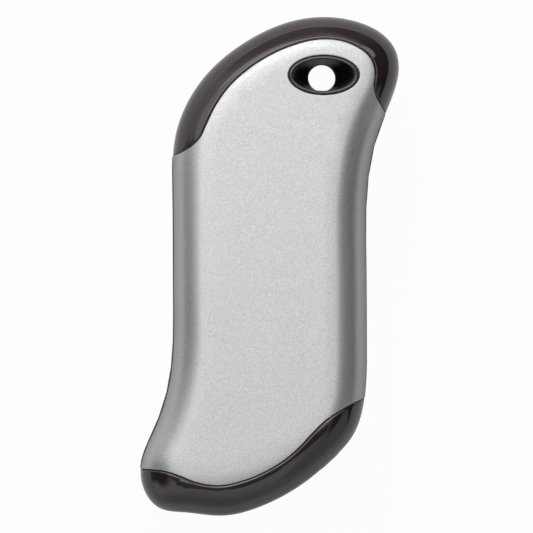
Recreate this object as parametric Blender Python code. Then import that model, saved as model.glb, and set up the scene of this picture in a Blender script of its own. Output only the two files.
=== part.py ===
"""Rechargeable hand warmer: two painted shells on an inner frame, two cells, a board and two trims.

Metres, +Z up. The warmer lies on its back: +Z is the front face, +Y the lanyard end, and the
origin is at the middle of its resting face. The housing is one skin, read by its place round the
outline (u, from 0 to 1, anticlockwise from the right side) and its height up the rounded edge
(s, 0 at the side band and 1 where the flat face begins).
"""
import math

import bmesh
import bpy
import numpy as np

# Cells, which set the size of everything round them
CELL_DIAMETER = 0.0184
CELL_LENGTH = 0.065
CELL_NUB_HEIGHT = 0.001
CELL_NUB_DIAMETER = 0.0055
CELL_GROOVE_DEPTH = 0.0006
CELL_GROOVE_PLACE = 0.0035
CELL_EDGE = 0.0006
CELL_GAP = 0.001

# Clearances
GAP = 0.0003
OVERRUN = 0.002

# Layers between a cell and the front face
PAD_THICKNESS = 0.0016
FILM_THICKNESS = 0.0003
SHELL_WALL = 0.001

# Layers between a cell and the side of the grip
LIP_WALL = 0.001
LIP_REACH = 0.0018
FRAME_WALL = 0.0016
CELL_TO_FRAME = 0.0024

# Room beyond the cells, towards the lanyard and towards the sockets
TOP_ROOM = 0.035
BOTTOM_ROOM = 0.032

# Housing
EDGE_ROUND = 0.010
BAND_HEIGHT = 0.0032
RAIL_PROUD_LEFT = 0.00015
RAIL_PROUD_RIGHT = 0.0001
FRAME_REACH_SHARE = 0.28
SHOULDER_POWER = 2.25
SPLIT_REACH_SHARE = 1.4
CROWN_STEP_SHARE = 0.03
WAIST_SHARE = 0.7445
SPAN_STEP_SHARE = 0.0009

CAP_WALL = SHELL_WALL + GAP + LIP_WALL
FRAME_DEPTH = CAP_WALL + GAP
ROOM_DEPTH = FRAME_DEPTH + FRAME_WALL
THICKNESS = CELL_DIAMETER + 2 * (SHELL_WALL + FILM_THICKNESS + PAD_THICKNESS + 3 * GAP)
WIDTH = (2 * (CELL_DIAMETER + CELL_TO_FRAME + ROOM_DEPTH) + CELL_GAP) / WAIST_SHARE
LENGTH = CELL_LENGTH + TOP_ROOM + BOTTOM_ROOM
HALF = THICKNESS / 2
BAND = BAND_HEIGHT / 2

# Outline as shares of width and length, anticlockwise from the right side
OUTLINE_SHARES = (
    (0.373, 0.015), (0.3835, 0.188), (0.418, 0.2665), (0.476, 0.3425), (0.4995, 0.3965),
    (0.485, 0.4345), (0.4285, 0.468), (0.331, 0.491), (0.2205, 0.4995), (0.0645, 0.488),
    (-0.082, 0.453), (-0.211, 0.402), (-0.3065, 0.338), (-0.3645, 0.257), (-0.373, 0.162),
    (-0.370, -0.068), (-0.3935, -0.2485), (-0.4455, -0.327), (-0.4955, -0.397),
    (-0.487, -0.443), (-0.428, -0.483), (-0.324, -0.493), (-0.185, -0.4995),
    (-0.021, -0.4785), (0.1195, -0.439), (0.244, -0.3855), (0.323, -0.338), (0.368, -0.2585),
    (0.375, -0.1525))
# From each outline point to the edge of the flat face, as shares of the edge round
INSET_SHARES = (
    (-0.945, 0.0), (-0.935, 0.095), (-0.885, 0.285), (-0.875, 0.135), (-0.92, -0.205),
    (-0.865, -0.475), (-0.675, -0.75), (-0.33, -0.935), (-0.01, -0.995), (0.355, -0.965),
    (0.56, -0.86), (0.705, -0.71), (0.85, -0.465), (0.91, -0.18), (0.89, -0.02),
    (0.88, -0.01), (0.86, -0.19), (0.85, -0.305), (1.015, 0.18), (1.045, 0.645),
    (0.875, 1.12), (0.475, 1.24), (0.125, 1.36), (-0.315, 1.255), (-0.645, 0.96),
    (-0.73, 0.76), (-0.895, 0.45), (-0.96, 0.14), (-0.945, 0.0))
# Where the trims part from the shells, seen from the front, as shares of width and length
TOP_SPLIT_SHARES = (
    (0.4445, 0.3045), (0.424, 0.3185), (0.4025, 0.338), (0.3965, 0.355), (0.4005, 0.378),
    (0.3955, 0.395), (0.3735, 0.4155), (0.338, 0.4295), (0.2765, 0.443), (0.2095, 0.447),
    (0.1635, 0.445), (0.0755, 0.4325), (-0.0075, 0.413), (-0.084, 0.387), (-0.152, 0.355),
    (-0.205, 0.317), (-0.244, 0.276), (-0.263, 0.255), (-0.2935, 0.238), (-0.333, 0.226),
    (-0.3665, 0.2205))
BOTTOM_SPLIT_SHARES = (
    (-0.4935, -0.403), (-0.457, -0.4015), (-0.41, -0.4025), (-0.3435, -0.4125),
    (-0.28, -0.4255), (-0.2015, -0.432), (-0.101, -0.4225), (-0.019, -0.405),
    (0.059, -0.3805), (0.111, -0.3575), (0.1575, -0.3315), (0.206, -0.3065),
    (0.262, -0.2865), (0.323, -0.27), (0.3685, -0.2615))

# Lanyard eyelet
EYELET_PLACE_SHARES = (0.2063, 0.3765)
EYELET_LENGTH = 0.0181
EYELET_WIDTH = 0.01
EYELET_MOUTH_LENGTH = 0.0158
EYELET_MOUTH_WIDTH = 0.0079
EYELET_BORE = 0.0074
EYELET_FUNNEL = 0.0112
EYELET_PROUD = 0.0004
EYELET_RIM = 0.0008
# Rings of its mouth: share of the way in from one oval to the next, and share of the drop
RIM_SHARES = ((0.0, 1.0), (0.3, 0.35), (1.0, 0.0))
LIP_SHARES = ((0.75, 0.3), (1.0, 1.0))
FUNNEL_SHARES = ((0.2, 0.3), (0.6, 0.72), (1.0, 1.0))

# Inner frame
WEB_THICKNESS = 0.002
WEB_CLEARANCE = 0.003
EYELET_BOSS_WALL = 0.0014
EYELET_BOSS_HEIGHT = 0.014
FLOOR_THICKNESS = 0.0012
BOSS_HEIGHT = 0.0005
BOSS_RADIUS = 0.0022
WINDOW_HEIGHT = 0.0076
WINDOW_MARGIN = 0.001

# Cell brackets and strips
BRACKET_WALL = 0.0009
SOCKET_DEPTH = 0.0035
BRACKET_LIP = 0.0017
BRACKET_PLATE = 0.0027
EAR_HEIGHT = 0.005
NOTCH_WIDTH = 0.0032
STRIP_THICKNESS = 0.00025
STRIP_WIDTH = 0.007
STRIP_LENGTH = 0.026
STRIP_SLOT_WIDTH = 0.0012
STRIP_SLOT_LENGTH = 0.0045

# Heater films and pads
FILM_INSET_SHARE = 1.12
FILM_EYELET_CLEARANCE = 0.002
PAD_WIDTH = 0.028
PAD_END_CLEARANCE = 0.001
PAD_CORNER = 0.002

# Main board, whose top face lies below the middle of the warmer
BOARD_THICKNESS = 0.0012
BOARD_DROP = 0.0019
BOARD_CLEARANCE = 0.001
BOARD_EDGE_CLEARANCE = 0.001
SCREW_RADIUS = 0.0008
SCREW_HEAD_RADIUS = 0.0015
SCREW_HEAD_HEIGHT = 0.0009
SCREW_LENGTH = 0.0036
SCREW_SLOT = 0.0004
SCREW_PLACE_SHARES = ((-0.343, -0.345), (0.2336, -0.3106), (-0.111, -0.4205))

# Sockets
SHEET = 0.00035
USB_PLACE_SHARE = -0.2555
USB_WIDTH = 0.0131
USB_HEIGHT = 0.0057
USB_DEPTH = 0.014
USB_RECESS = 0.0013
USB_BASE_DEPTH = 0.0025
USB_TONGUE_CLEARANCE = 0.0007
USB_TONGUE_HEIGHT = 0.0018
USB_TONGUE_RISE = 0.0008
USB_TONGUE_SETBACK = 0.0015
USB_CONTACT_WIDTH = 0.0010
USB_CONTACT_THICKNESS = 0.00025
USB_CONTACT_PITCH = 0.0024
USB_CONTACT_COUNT = 4
MICRO_PLACE_SHARE = 0.022
MICRO_WIDTH = 0.0075
MICRO_FLOOR_WIDTH = 0.0056
MICRO_HEIGHT = 0.0026
MICRO_DEPTH = 0.0056
MICRO_RECESS = 0.001
MICRO_BASE_DEPTH = 0.0012
MICRO_TONGUE_WIDTH = 0.0042
MICRO_TONGUE_HEIGHT = 0.0006
MICRO_TAB_DEPTH = 0.0029

# Button, its switch and the lights beside it
CONTROL_GAP = 0.0016
BUTTON_LENGTH = 0.007
BUTTON_HEIGHT = 0.0044
BUTTON_PROUD = 0.00012
BUTTON_FACE_BEVEL = 0.00025
BUTTON_TRAVEL = 0.0004
FLANGE_WIDTH = 0.0008
FLANGE_CLEARANCE = 0.0009
FLANGE_THICKNESS = 0.001
STEM_LENGTH = 0.0016
STEM_WIDTH = 0.0024
STEM_HEIGHT = 0.0016
PLUNGER_LENGTH = 0.0014
PLUNGER_WIDTH = 0.0022
PLUNGER_HEIGHT = 0.0012
SWITCH_WIDTH = 0.006
SWITCH_HEIGHT = 0.0034
SWITCH_DEPTH = 0.0035
SWITCH_WALL_GAP = 0.0008
LIGHT_COUNT = 4
LIGHT_PITCH = 0.002
LIGHT_RADIUS = 0.0006
LIGHT_RECESS = 0.00015
LIGHT_BAR_HEIGHT = 0.002
LIGHT_BAR_DEPTH = 0.0012
LED_WIDTH = 0.0014
LED_DEPTH = 0.0008
LED_HEIGHT = 0.001

# Components on the board: places as shares of width and length, sizes in metres
INDUCTOR_PLACE_SHARES = (-0.03, -0.338)
INDUCTOR_SIZE = 0.006
INDUCTOR_HEIGHT = 0.003
CONTROLLER_PLACE_SHARES = (-0.19, -0.335)
CONTROLLER_SIZE = 0.005
CHARGER_PLACE_SHARES = (-0.015, -0.385)
CHARGER_SIZE = 0.004
CHIP_HEIGHT = 0.0009
CAPACITOR_PLACE_SHARES = ((-0.265, -0.312), (-0.265, -0.329), (-0.265, -0.346), (-0.1, -0.362))
CAPACITOR_LENGTH = 0.002
CAPACITOR_WIDTH = 0.0012
THERMISTOR_PLACE_SHARES = (0.058, -0.330)
THERMISTOR_LENGTH = 0.003
THERMISTOR_WIDTH = 0.002
THERMISTOR_HEIGHT = 0.0012

# Leads
LEAD_RADIUS = 0.0008
THIN_LEAD_RADIUS = 0.0005
LEAD_VALLEY_SHARE = 0.4
FRONT_LEAD_PLACE_SHARES = (-0.145, -0.325)
BACK_LEAD_PLACE_SHARES = (0.1, -0.31)
FLOOR_HOLE_RADIUS = 0.0015

# Edges of small pieces
CHIP_BEVEL_SHARE = 0.125
THERMISTOR_BEVEL_SHARE = 0.25

# Facets
SPAN_COLUMNS = {"right": 9, "top": 24, "left": 12, "bottom": 24}
SHELL_ROWS = 5
TRIM_ROW_SHARES = (1.0, 0.66, 0.33, 0.0)
OUTLINE_COLUMNS = 60
FILM_COLUMNS = 48
WINDOW_COLUMNS = 13
EYELET_SEGMENTS = 28
ROUND_SEGMENTS = 28
ROD_SEGMENTS = 16
SCREW_SEGMENTS = 14
LIGHT_SEGMENTS = 10
STADIUM_STEPS = 12
CORNER_STEPS = 3
LEAD_STEPS = 14
OUTLINE_SAMPLES = 4000
SPLIT_SAMPLES = 160
SMOOTH_ANGLE = 35


def clear_scene():
    for item in list(bpy.data.objects):
        bpy.data.objects.remove(item)


# Materials

def finish(name, colour, roughness, metallic=0.0):
    material = bpy.data.materials.new(name)
    material.use_nodes = True
    shader = material.node_tree.nodes["Principled BSDF"]
    shader.inputs["Base Color"].default_value = (*colour, 1.0)
    shader.inputs["Roughness"].default_value = roughness
    shader.inputs["Metallic"].default_value = metallic
    material.diffuse_color = (*colour, 1.0)
    return material


def make_finishes():
    return {
        "silver_paint": finish("silver_paint", (0.61, 0.61, 0.62), 0.42, 0.6),
        "gloss_black": finish("gloss_black", (0.035, 0.032, 0.034), 0.12),
        "frame_black": finish("frame_black", (0.03, 0.03, 0.03), 0.5),
        "film_amber": finish("film_amber", (0.45, 0.2, 0.03), 0.3),
        "pad_grey": finish("pad_grey", (0.32, 0.34, 0.36), 0.85),
        "cell_wrap": finish("cell_wrap", (0.02, 0.22, 0.42), 0.35),
        "nickel": finish("nickel", (0.6, 0.58, 0.53), 0.3, 1.0),
        "steel": finish("steel", (0.6, 0.6, 0.6), 0.28, 1.0),
        "board_green": finish("board_green", (0.02, 0.16, 0.07), 0.45),
        "chip_black": finish("chip_black", (0.02, 0.02, 0.02), 0.5),
        "tongue_black": finish("tongue_black", (0.03, 0.03, 0.03), 0.45),
        "ferrite": finish("ferrite", (0.1, 0.1, 0.1), 0.7),
        "clear_plastic": finish("clear_plastic", (0.85, 0.87, 0.9), 0.15),
        "lead_red": finish("lead_red", (0.5, 0.02, 0.02), 0.4),
        "lead_black": finish("lead_black", (0.02, 0.02, 0.02), 0.4),
        "lead_white": finish("lead_white", (0.8, 0.8, 0.78), 0.4),
    }


# The housing's skin

def closed_spline(points, corners):
    """A smooth closed curve through the points, read by the share u of the corners' chords."""
    count = len(points)
    steps = np.linalg.norm(np.roll(corners, -1, axis=0) - corners, axis=1)
    knots = np.concatenate(([0.0], np.cumsum(steps)))
    system = np.zeros((count, count))
    right = np.zeros((count, points.shape[1]))
    for i in range(count):
        before, after = steps[i - 1], steps[i]
        system[i, i - 1] += before
        system[i, i] += 2 * (before + after)
        system[i, (i + 1) % count] += after
        rise = (points[(i + 1) % count] - points[i]) / after
        right[i] = 6 * (rise - (points[i] - points[i - 1]) / before)
    bends = np.linalg.solve(system, right)
    return points, knots, steps, bends


def read_spline(spline, u):
    points, knots, steps, bends = spline
    count = len(points)
    place = np.mod(u, 1.0) * knots[-1]
    i = np.clip(np.searchsorted(knots, place, side="right") - 1, 0, count - 1)
    j = (i + 1) % count
    step = steps[i][:, None]
    back = knots[i + 1][:, None] - place[:, None]
    ahead = place[:, None] - knots[i][:, None]
    curve = (bends[i] * back ** 3 + bends[j] * ahead ** 3) / (6 * step)
    curve += (points[i] / step - bends[i] * step / 6) * back
    curve += (points[j] / step - bends[j] * step / 6) * ahead
    return curve


class Skin:
    """The outer surface of the closed housing, about the middle plane of its thickness."""

    def __init__(self):
        corners = np.array(OUTLINE_SHARES)
        table = np.hstack((corners, np.array(INSET_SHARES)))
        self.spline = closed_spline(table, corners * np.array((WIDTH, LENGTH)))
        self.samples = np.linspace(0.0, 1.0, OUTLINE_SAMPLES, endpoint=False)
        raw = read_spline(self.spline, self.samples)[:, :2]
        self.low = raw.min(axis=0)
        self.span = raw.max(axis=0) - self.low
        self.plan = self.outline(self.samples)
        hops = np.linalg.norm(np.roll(self.plan, -1, axis=0) - self.plan, axis=1)
        self.walk = np.concatenate(([0.0], np.cumsum(hops)))

    def outline(self, u):
        raw = read_spline(self.spline, np.atleast_1d(u))[:, :2]
        return ((raw - self.low) / self.span - 0.5) * np.array((WIDTH, LENGTH))

    def inset(self, u):
        return read_spline(self.spline, np.atleast_1d(u))[:, 2:] * EDGE_ROUND

    def point(self, u, s, depth=0.0, side=1):
        """Points of the skin, moved inwards by depth; side is 1 for the front, -1 for the back."""
        u, s = np.broadcast_arrays(np.atleast_1d(u).astype(float), s)
        turn = np.clip(s, 0.0, 1.0) * math.pi / 2
        left = np.cos(turn) ** (2 / SHOULDER_POWER)
        rise = np.sin(turn) ** (2 / SHOULDER_POWER)
        inwards = np.where(s > 1, s, 1 - left)[:, None]
        inset = self.inset(u)
        plan = self.outline(u) + inwards * inset
        height = BAND + (HALF - BAND) * rise
        nudge = 1 / OUTLINE_SAMPLES
        along = self.outline(u + nudge) - self.outline(u - nudge)
        along += inwards * (self.inset(u + nudge) - self.inset(u - nudge))
        bend = SHOULDER_POWER - 1
        climb = (rise ** bend)[:, None] * inset
        lift = np.where(s > 1, 0.0, left ** bend * (HALF - BAND))
        normal = np.stack((along[:, 1] * lift, -along[:, 0] * lift,
                           along[:, 0] * climb[:, 1] - along[:, 1] * climb[:, 0]), axis=1)
        normal /= np.linalg.norm(normal, axis=1)[:, None]
        skin = np.column_stack((plan, height)) - normal * depth
        skin[:, 2] *= side
        return skin

    def band_point(self, u, z, depth):
        """Points of the straight side band, at height z and moved inwards by depth."""
        edge = self.point(u, 0.0, depth)
        edge[:, 2] = z
        return edge

    def inset_outline(self, depth):
        places = np.linspace(0.0, 1.0, OUTLINE_COLUMNS, endpoint=False)
        return self.point(places, 0.0, depth)[:, :2]

    def edge_place(self, start_share, distance=0.0):
        """A place on the lower edge: u, point and inward direction, a walk from a width share."""
        low = np.where(self.plan[:, 1] < -LENGTH / 4, 0.0, WIDTH)
        first = int(np.argmin(np.abs(self.plan[:, 0] - start_share * WIDTH) + low))
        u = np.interp(self.walk[first] + distance, self.walk, np.append(self.samples, 1.0))
        outside = self.point(u, 0.0)[0]
        inside = self.point(u, 0.0, CAP_WALL)[0]
        inward = (inside - outside)[:2] / CAP_WALL
        return u, outside[:2], inward

    def split(self, shares, shift):
        """A split line as heights s over places u, moved sideways by shift to its left."""
        corners = np.array(shares) * np.array((WIDTH, LENGTH))
        hops = np.concatenate(([0.0], np.cumsum(np.linalg.norm(np.diff(corners, axis=0), axis=1))))
        walk = np.linspace(0.0, hops[-1], SPLIT_SAMPLES)
        line = np.stack([smooth_read(walk, hops, corners[:, k]) for k in range(2)], axis=1)
        ahead = np.gradient(line, axis=0)
        ahead /= np.linalg.norm(ahead, axis=1)[:, None]
        line += shift * np.stack((-ahead[:, 1], ahead[:, 0]), axis=1)
        inset = self.inset(self.samples)
        places, heights = [], []
        for point in line:
            away = point - self.plan
            share = np.sum(away * inset, axis=1) / np.sum(inset * inset, axis=1)
            near = np.clip(share, 0.0, SPLIT_REACH_SHARE)
            miss = np.linalg.norm(away - near[:, None] * inset, axis=1)
            best = int(np.argmin(miss))
            places.append(self.samples[best])
            heights.append(self.height_of(near[best]))
        order = np.argsort(places, kind="stable")
        return np.array(places)[order], np.array(heights)[order]

    @staticmethod
    def height_of(share):
        if share >= 1:
            return share
        left = (1 - share) ** (SHOULDER_POWER / 2)
        return math.acos(left) / (math.pi / 2)


def smooth_read(at, knots, values):
    """A smooth open curve through values at the knots (cubic steps with averaged slopes)."""
    slopes = np.gradient(values, knots)
    i = np.clip(np.searchsorted(knots, at, side="right") - 1, 0, len(knots) - 2)
    width = knots[i + 1] - knots[i]
    t = (at - knots[i]) / width
    start = (1 + 2 * t) * (1 - t) ** 2 * values[i] + t * (1 - t) ** 2 * width * slopes[i]
    end = t * t * (3 - 2 * t) * values[i + 1] + t * t * (t - 1) * width * slopes[i + 1]
    return start + end


class Split:
    """Both split lines: where each span of the outline begins, and how high its edge stands."""

    def __init__(self, skin, shift):
        self.top = skin.split(TOP_SPLIT_SHARES, shift)
        self.bottom = skin.split(BOTTOM_SPLIT_SHARES, shift)

    def height(self, u):
        u = np.mod(u, 1.0)
        top = np.interp(u, *self.top, left=0.0, right=0.0)
        bottom = np.interp(u, *self.bottom, left=0.0, right=0.0)
        return np.maximum(top, bottom)

    def spans(self):
        """The four spans of the outline as pairs of places u; the sides stop a step short."""
        step = SPAN_STEP_SHARE
        top_start, top_end = self.top[0][0], self.top[0][-1]
        low_start, low_end = self.bottom[0][0], self.bottom[0][-1]
        return {"right": (low_end - 1.0 + step, top_start - step), "top": (top_start, top_end),
                "left": (top_end + step, low_start - step), "bottom": (low_start, low_end)}


def span_columns(span, count, eased):
    """Places along a span, closer together near its ends where the split line runs steep."""
    share = np.linspace(0.0, 1.0, count + 1)
    if eased:
        share = 0.5 - 0.5 * np.cos(math.pi * share)
    return span[0] + (span[1] - span[0]) * share


def shared_columns(skin, spans, name):
    """Places along a span, the same for every piece but at the span's two ends."""
    common = Split(skin, 0.0).spans()[name]
    columns = span_columns(common, SPAN_COLUMNS[name], name in ("top", "bottom"))
    columns[0], columns[-1] = spans[name]
    return columns


def all_columns(skin, spans):
    """Places round the whole outline, with one at each end of each span."""
    return np.concatenate([shared_columns(skin, spans, name) for name in SPAN_COLUMNS])


# Meshes and objects

def new_object(name, mesh_data, material, parent, place=(0.0, 0.0, 0.0), turn=0.0):
    mesh = bpy.data.meshes.new(name)
    mesh_data.to_mesh(mesh)
    mesh_data.free()
    mesh.shade_smooth()
    mesh.set_sharp_from_angle(angle=math.radians(SMOOTH_ANGLE))
    item = bpy.data.objects.new(name, mesh)
    bpy.context.scene.collection.objects.link(item)
    item.location = place
    item.rotation_euler = (0.0, 0.0, turn)
    item.parent = parent
    if material:
        item.data.materials.append(material)
    return item


def add_net(net, rows):
    """Adds rows of points, each a closed ring, with quads from ring to ring."""
    grid = [[net.verts.new(point) for point in row] for row in rows]
    for low, high in zip(grid[:-1], grid[1:]):
        bridge(net, low, high)
    return grid


def bridge(net, low, high):
    for i in range(len(low)):
        j = (i + 1) % len(low)
        net.faces.new((low[i], low[j], high[j], high[i]))


def lofted_mesh(rows):
    """A solid through rings of points, with a flat end on the first and the last."""
    net = bmesh.new()
    grid = add_net(net, rows)
    net.faces.new(grid[0])
    net.faces.new(grid[-1])
    return close_up(net)


def ring_mesh(rows):
    """A solid through rings of points whose last ring meets the first."""
    net = bmesh.new()
    grid = add_net(net, rows)
    bridge(net, grid[-1], grid[0])
    return close_up(net)


def close_up(net):
    """Turns every face of a closed mesh outwards."""
    bmesh.ops.recalc_face_normals(net, faces=net.faces)
    if net.calc_volume(signed=True) < 0:
        bmesh.ops.reverse_faces(net, faces=net.faces)
    return net


def box_mesh(size, centre=(0.0, 0.0, 0.0), bevel=0.0):
    net = bmesh.new()
    bmesh.ops.create_cube(net, size=1.0)
    for vert in net.verts:
        vert.co = [vert.co[k] * size[k] + centre[k] for k in range(3)]
    if bevel:
        bmesh.ops.bevel(net, geom=net.edges[:], offset=bevel, segments=1, affect="EDGES")
    return net


def prism_mesh(plan, low, high):
    """A closed outline in X and Y drawn up from one height to another."""
    return lofted_mesh([[(x, y, z) for x, y in plan] for z in (low, high)])


def bar_mesh(section, start, end):
    """A closed outline in X and Z drawn along Y."""
    return lofted_mesh([[(x, y, z) for x, z in section] for y in (start, end)])


def turned_mesh(profile, segments, axis="Z"):
    """A turned solid with flat ends; profile is (radius, height) from one end to the other."""
    turns = [2 * math.pi * k / segments for k in range(segments)]
    net = lofted_mesh([[(r * math.cos(t), r * math.sin(t), h) for t in turns] for r, h in profile])
    if axis == "Y":
        for vert in net.verts:
            vert.co = (vert.co.x, vert.co.z, -vert.co.y)
    return net


def rod_mesh(radius, low, high, segments=ROD_SEGMENTS, axis="Z"):
    return turned_mesh(((radius, low), (radius, high)), segments, axis)


def ellipse(length, width, segments):
    turns = [2 * math.pi * k / segments for k in range(segments)]
    return [(length / 2 * math.cos(t), width / 2 * math.sin(t)) for t in turns]


def rounded_plan(length, width, corner):
    plan = []
    for k, (sx, sy) in enumerate(((1, 1), (-1, 1), (-1, -1), (1, -1))):
        for step in range(CORNER_STEPS + 1):
            turn = (k + step / CORNER_STEPS) * math.pi / 2
            plan.append((sx * (length / 2 - corner) + corner * math.cos(turn),
                         sy * (width / 2 - corner) + corner * math.sin(turn)))
    return plan


def boolean(target, mesh_data, operation, place=(0.0, 0.0, 0.0), turn=0.0):
    """Adds a Boolean step to the target, with a hidden operand under the same parent."""
    name = f"{target.name}_{operation.lower()}_{len(target.modifiers)}"
    operand = new_object(name, mesh_data, None, target.parent, place, turn)
    operand.hide_render = True
    operand.display_type = "WIRE"
    step = target.modifiers.new(name, "BOOLEAN")
    step.operation = operation
    step.solver = "EXACT"
    step.object = operand


def cut(target, mesh_data, place=(0.0, 0.0, 0.0), turn=0.0):
    boolean(target, mesh_data, "DIFFERENCE", place, turn)


def join(target, mesh_data, place=(0.0, 0.0, 0.0), turn=0.0):
    boolean(target, mesh_data, "UNION", place, turn)


# Housing

def eyelet_place():
    return EYELET_PLACE_SHARES[0] * WIDTH, EYELET_PLACE_SHARES[1] * LENGTH, 0.0


def eyelet_cutter():
    plan = ellipse(EYELET_LENGTH + 2 * GAP, EYELET_WIDTH + 2 * GAP, EYELET_SEGMENTS)
    return prism_mesh(plan, -HALF - OVERRUN, HALF + OVERRUN)


def make_shell(name, side, skin, finishes, parent):
    """A pressed cover: rounded shoulders down to the side band, a flat face and an oval hole."""
    split = Split(skin, GAP / 2)
    columns = all_columns(skin, split.spans())
    border = split.height(columns)
    crown = np.maximum(1.0, border + CROWN_STEP_SHARE)
    net = bmesh.new()
    sheets = []
    for depth in (0.0, SHELL_WALL):
        rows = [skin.point(columns, border + (crown - border) * k / SHELL_ROWS, depth, side)
                for k in range(SHELL_ROWS + 1)]
        grid = add_net(net, rows)
        net.faces.new(grid[-1])
        sheets.append(grid[0])
    bridge(net, *sheets)
    shell = new_object(name, close_up(net), finishes["silver_paint"], parent)
    cut(shell, eyelet_cutter(), eyelet_place())


def trim_sections(skin, split, columns):
    """Sections of a trim: skin from split to split, a lip under each shell, and its inside."""
    lip = LIP_REACH / (EDGE_ROUND + HALF)
    border = np.maximum(split.height(columns), lip)
    under = SHELL_WALL + GAP
    edge_rows = ((border + lip, CAP_WALL), (border + lip, under), (border, under))
    rows = []
    for side, turn in ((1, 1), (-1, -1)):
        outer = [skin.point(columns, border * share, 0.0, side) for share in TRIM_ROW_SHARES]
        rows += outer[::turn]
    inner_shares = TRIM_ROW_SHARES[1:]
    for side, turn in ((-1, 1), (1, -1)):
        inside = [skin.point(columns, s, depth, side) for s, depth in edge_rows[::-1]]
        inside += [skin.point(columns, border * share, CAP_WALL, side) for share in inner_shares]
        rows += inside[::turn]
    return np.stack(rows, axis=1)


def make_trim(name, span_name, skin, finishes, parent):
    """A moulded cover that wraps one end of the warmer from the front shell to the back one."""
    split = Split(skin, -GAP / 2)
    columns = shared_columns(skin, split.spans(), span_name)
    net = lofted_mesh(trim_sections(skin, split, columns))
    return new_object(name, net, finishes["gloss_black"], parent)


def make_eyelet(finishes, parent):
    """A black oval barrel through both faces, with a funnel at each mouth and a round bore."""
    outer = (EYELET_LENGTH, EYELET_WIDTH)
    mouth = (EYELET_MOUTH_LENGTH, EYELET_MOUTH_WIDTH)
    bore = (EYELET_BORE, EYELET_BORE)
    crest = [(a + b) / 2 for a, b in zip(outer, mouth)]
    stretches = ((outer, crest, RIM_SHARES, EYELET_RIM), (crest, mouth, LIP_SHARES, EYELET_RIM),
                 (mouth, bore, FUNNEL_SHARES, EYELET_FUNNEL))
    front, back = [], []
    for start, end, shares, drop in stretches:
        for way, fall in shares:
            size = [a + (b - a) * way for a, b in zip(start, end)]
            front.append((size, HALF + EYELET_PROUD - drop * fall))
            back.append((size, drop * fall - HALF))
    rings = [[(x, y, height) for x, y in ellipse(*size, EYELET_SEGMENTS)]
             for size, height in front + back[::-1]]
    new_object("lanyard_eyelet", ring_mesh(rings), finishes["gloss_black"], parent,
               eyelet_place())


# Inner frame

def clipped_plan(plan, low, high):
    """The part of a closed outline between two heights in Y, cut straight across."""
    kept = []
    for (x0, y0), (x1, y1) in zip(plan, np.roll(plan, -1, axis=0)):
        if low <= y0 <= high:
            kept.append((x0, y0))
        for level in sorted((low, high), reverse=bool(y1 < y0)):
            if (y0 - level) * (y1 - level) < 0:
                share = (level - y0) / (y1 - y0)
                kept.append((x0 + share * (x1 - x0), level))
    return kept


def board_top():
    return -BOARD_DROP


def boss_top():
    return board_top() - BOARD_THICKNESS - GAP


def floor_top():
    return boss_top() - BOSS_HEIGHT


def bracket_ends():
    """Y of the outer faces of the top and bottom brackets."""
    reach = BRACKET_PLATE + GAP
    return LENGTH / 2 - TOP_ROOM + reach, -LENGTH / 2 + BOTTOM_ROOM - reach


def make_frame(skin, controls, finishes, parent):
    """The ring behind the shells' edges, its two proud rails, the eyelet web and the floor."""
    spans = Split(skin, GAP / 2).spans()
    columns = all_columns(skin, spans)
    reach = FRAME_REACH_SHARE
    rail = BAND - GAP
    inner = ROOM_DEPTH
    rows = [skin.point(columns, reach, FRAME_DEPTH), skin.band_point(columns, rail, FRAME_DEPTH),
            skin.band_point(columns, -rail, FRAME_DEPTH),
            skin.point(columns, reach, FRAME_DEPTH, -1), skin.point(columns, reach, inner, -1),
            skin.point(columns, 0.0, inner, -1), skin.point(columns, 0.0, inner),
            skin.point(columns, reach, inner)]
    net = bmesh.new()
    grid = add_net(net, rows)
    bridge(net, grid[-1], grid[0])
    raise_rails(net, grid[1], grid[2], columns, spans, skin)
    frame = new_object("core_frame", close_up(net), finishes["frame_black"], parent)

    wall = FRAME_DEPTH + FRAME_WALL / 2
    plan = skin.inset_outline(wall)
    top_edge, bottom_edge = bracket_ends()
    web = clipped_plan(plan, top_edge + WEB_CLEARANCE, LENGTH)
    join(frame, prism_mesh(web, -WEB_THICKNESS / 2, WEB_THICKNESS / 2))
    boss = ellipse(EYELET_LENGTH + 2 * (GAP + EYELET_BOSS_WALL),
                   EYELET_WIDTH + 2 * (GAP + EYELET_BOSS_WALL), EYELET_SEGMENTS)
    half_boss = EYELET_BOSS_HEIGHT / 2
    join(frame, prism_mesh(boss, -half_boss, half_boss), eyelet_place())
    cut(frame, eyelet_cutter(), eyelet_place())

    floor = clipped_plan(skin.inset_outline(ROOM_DEPTH), -LENGTH,
                         bottom_edge - WEB_CLEARANCE / 2)
    low = floor_top() - FLOOR_THICKNESS
    join(frame, prism_mesh(floor, low, floor_top()))
    for x_share, y_share in SCREW_PLACE_SHARES:
        place = (x_share * WIDTH, y_share * LENGTH, 0.0)
        join(frame, rod_mesh(BOSS_RADIUS, low + GAP, boss_top()), place)
        cut(frame, rod_mesh(SCREW_RADIUS + GAP, low - OVERRUN, boss_top() + OVERRUN), place)
    lead_x, lead_y, _ = back_lead_route()[-1]
    cut(frame, rod_mesh(FLOOR_HOLE_RADIUS, low - OVERRUN, floor_top() + OVERRUN),
        (lead_x, lead_y, 0.0))
    cut_frame_windows(frame, skin, controls)


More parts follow.
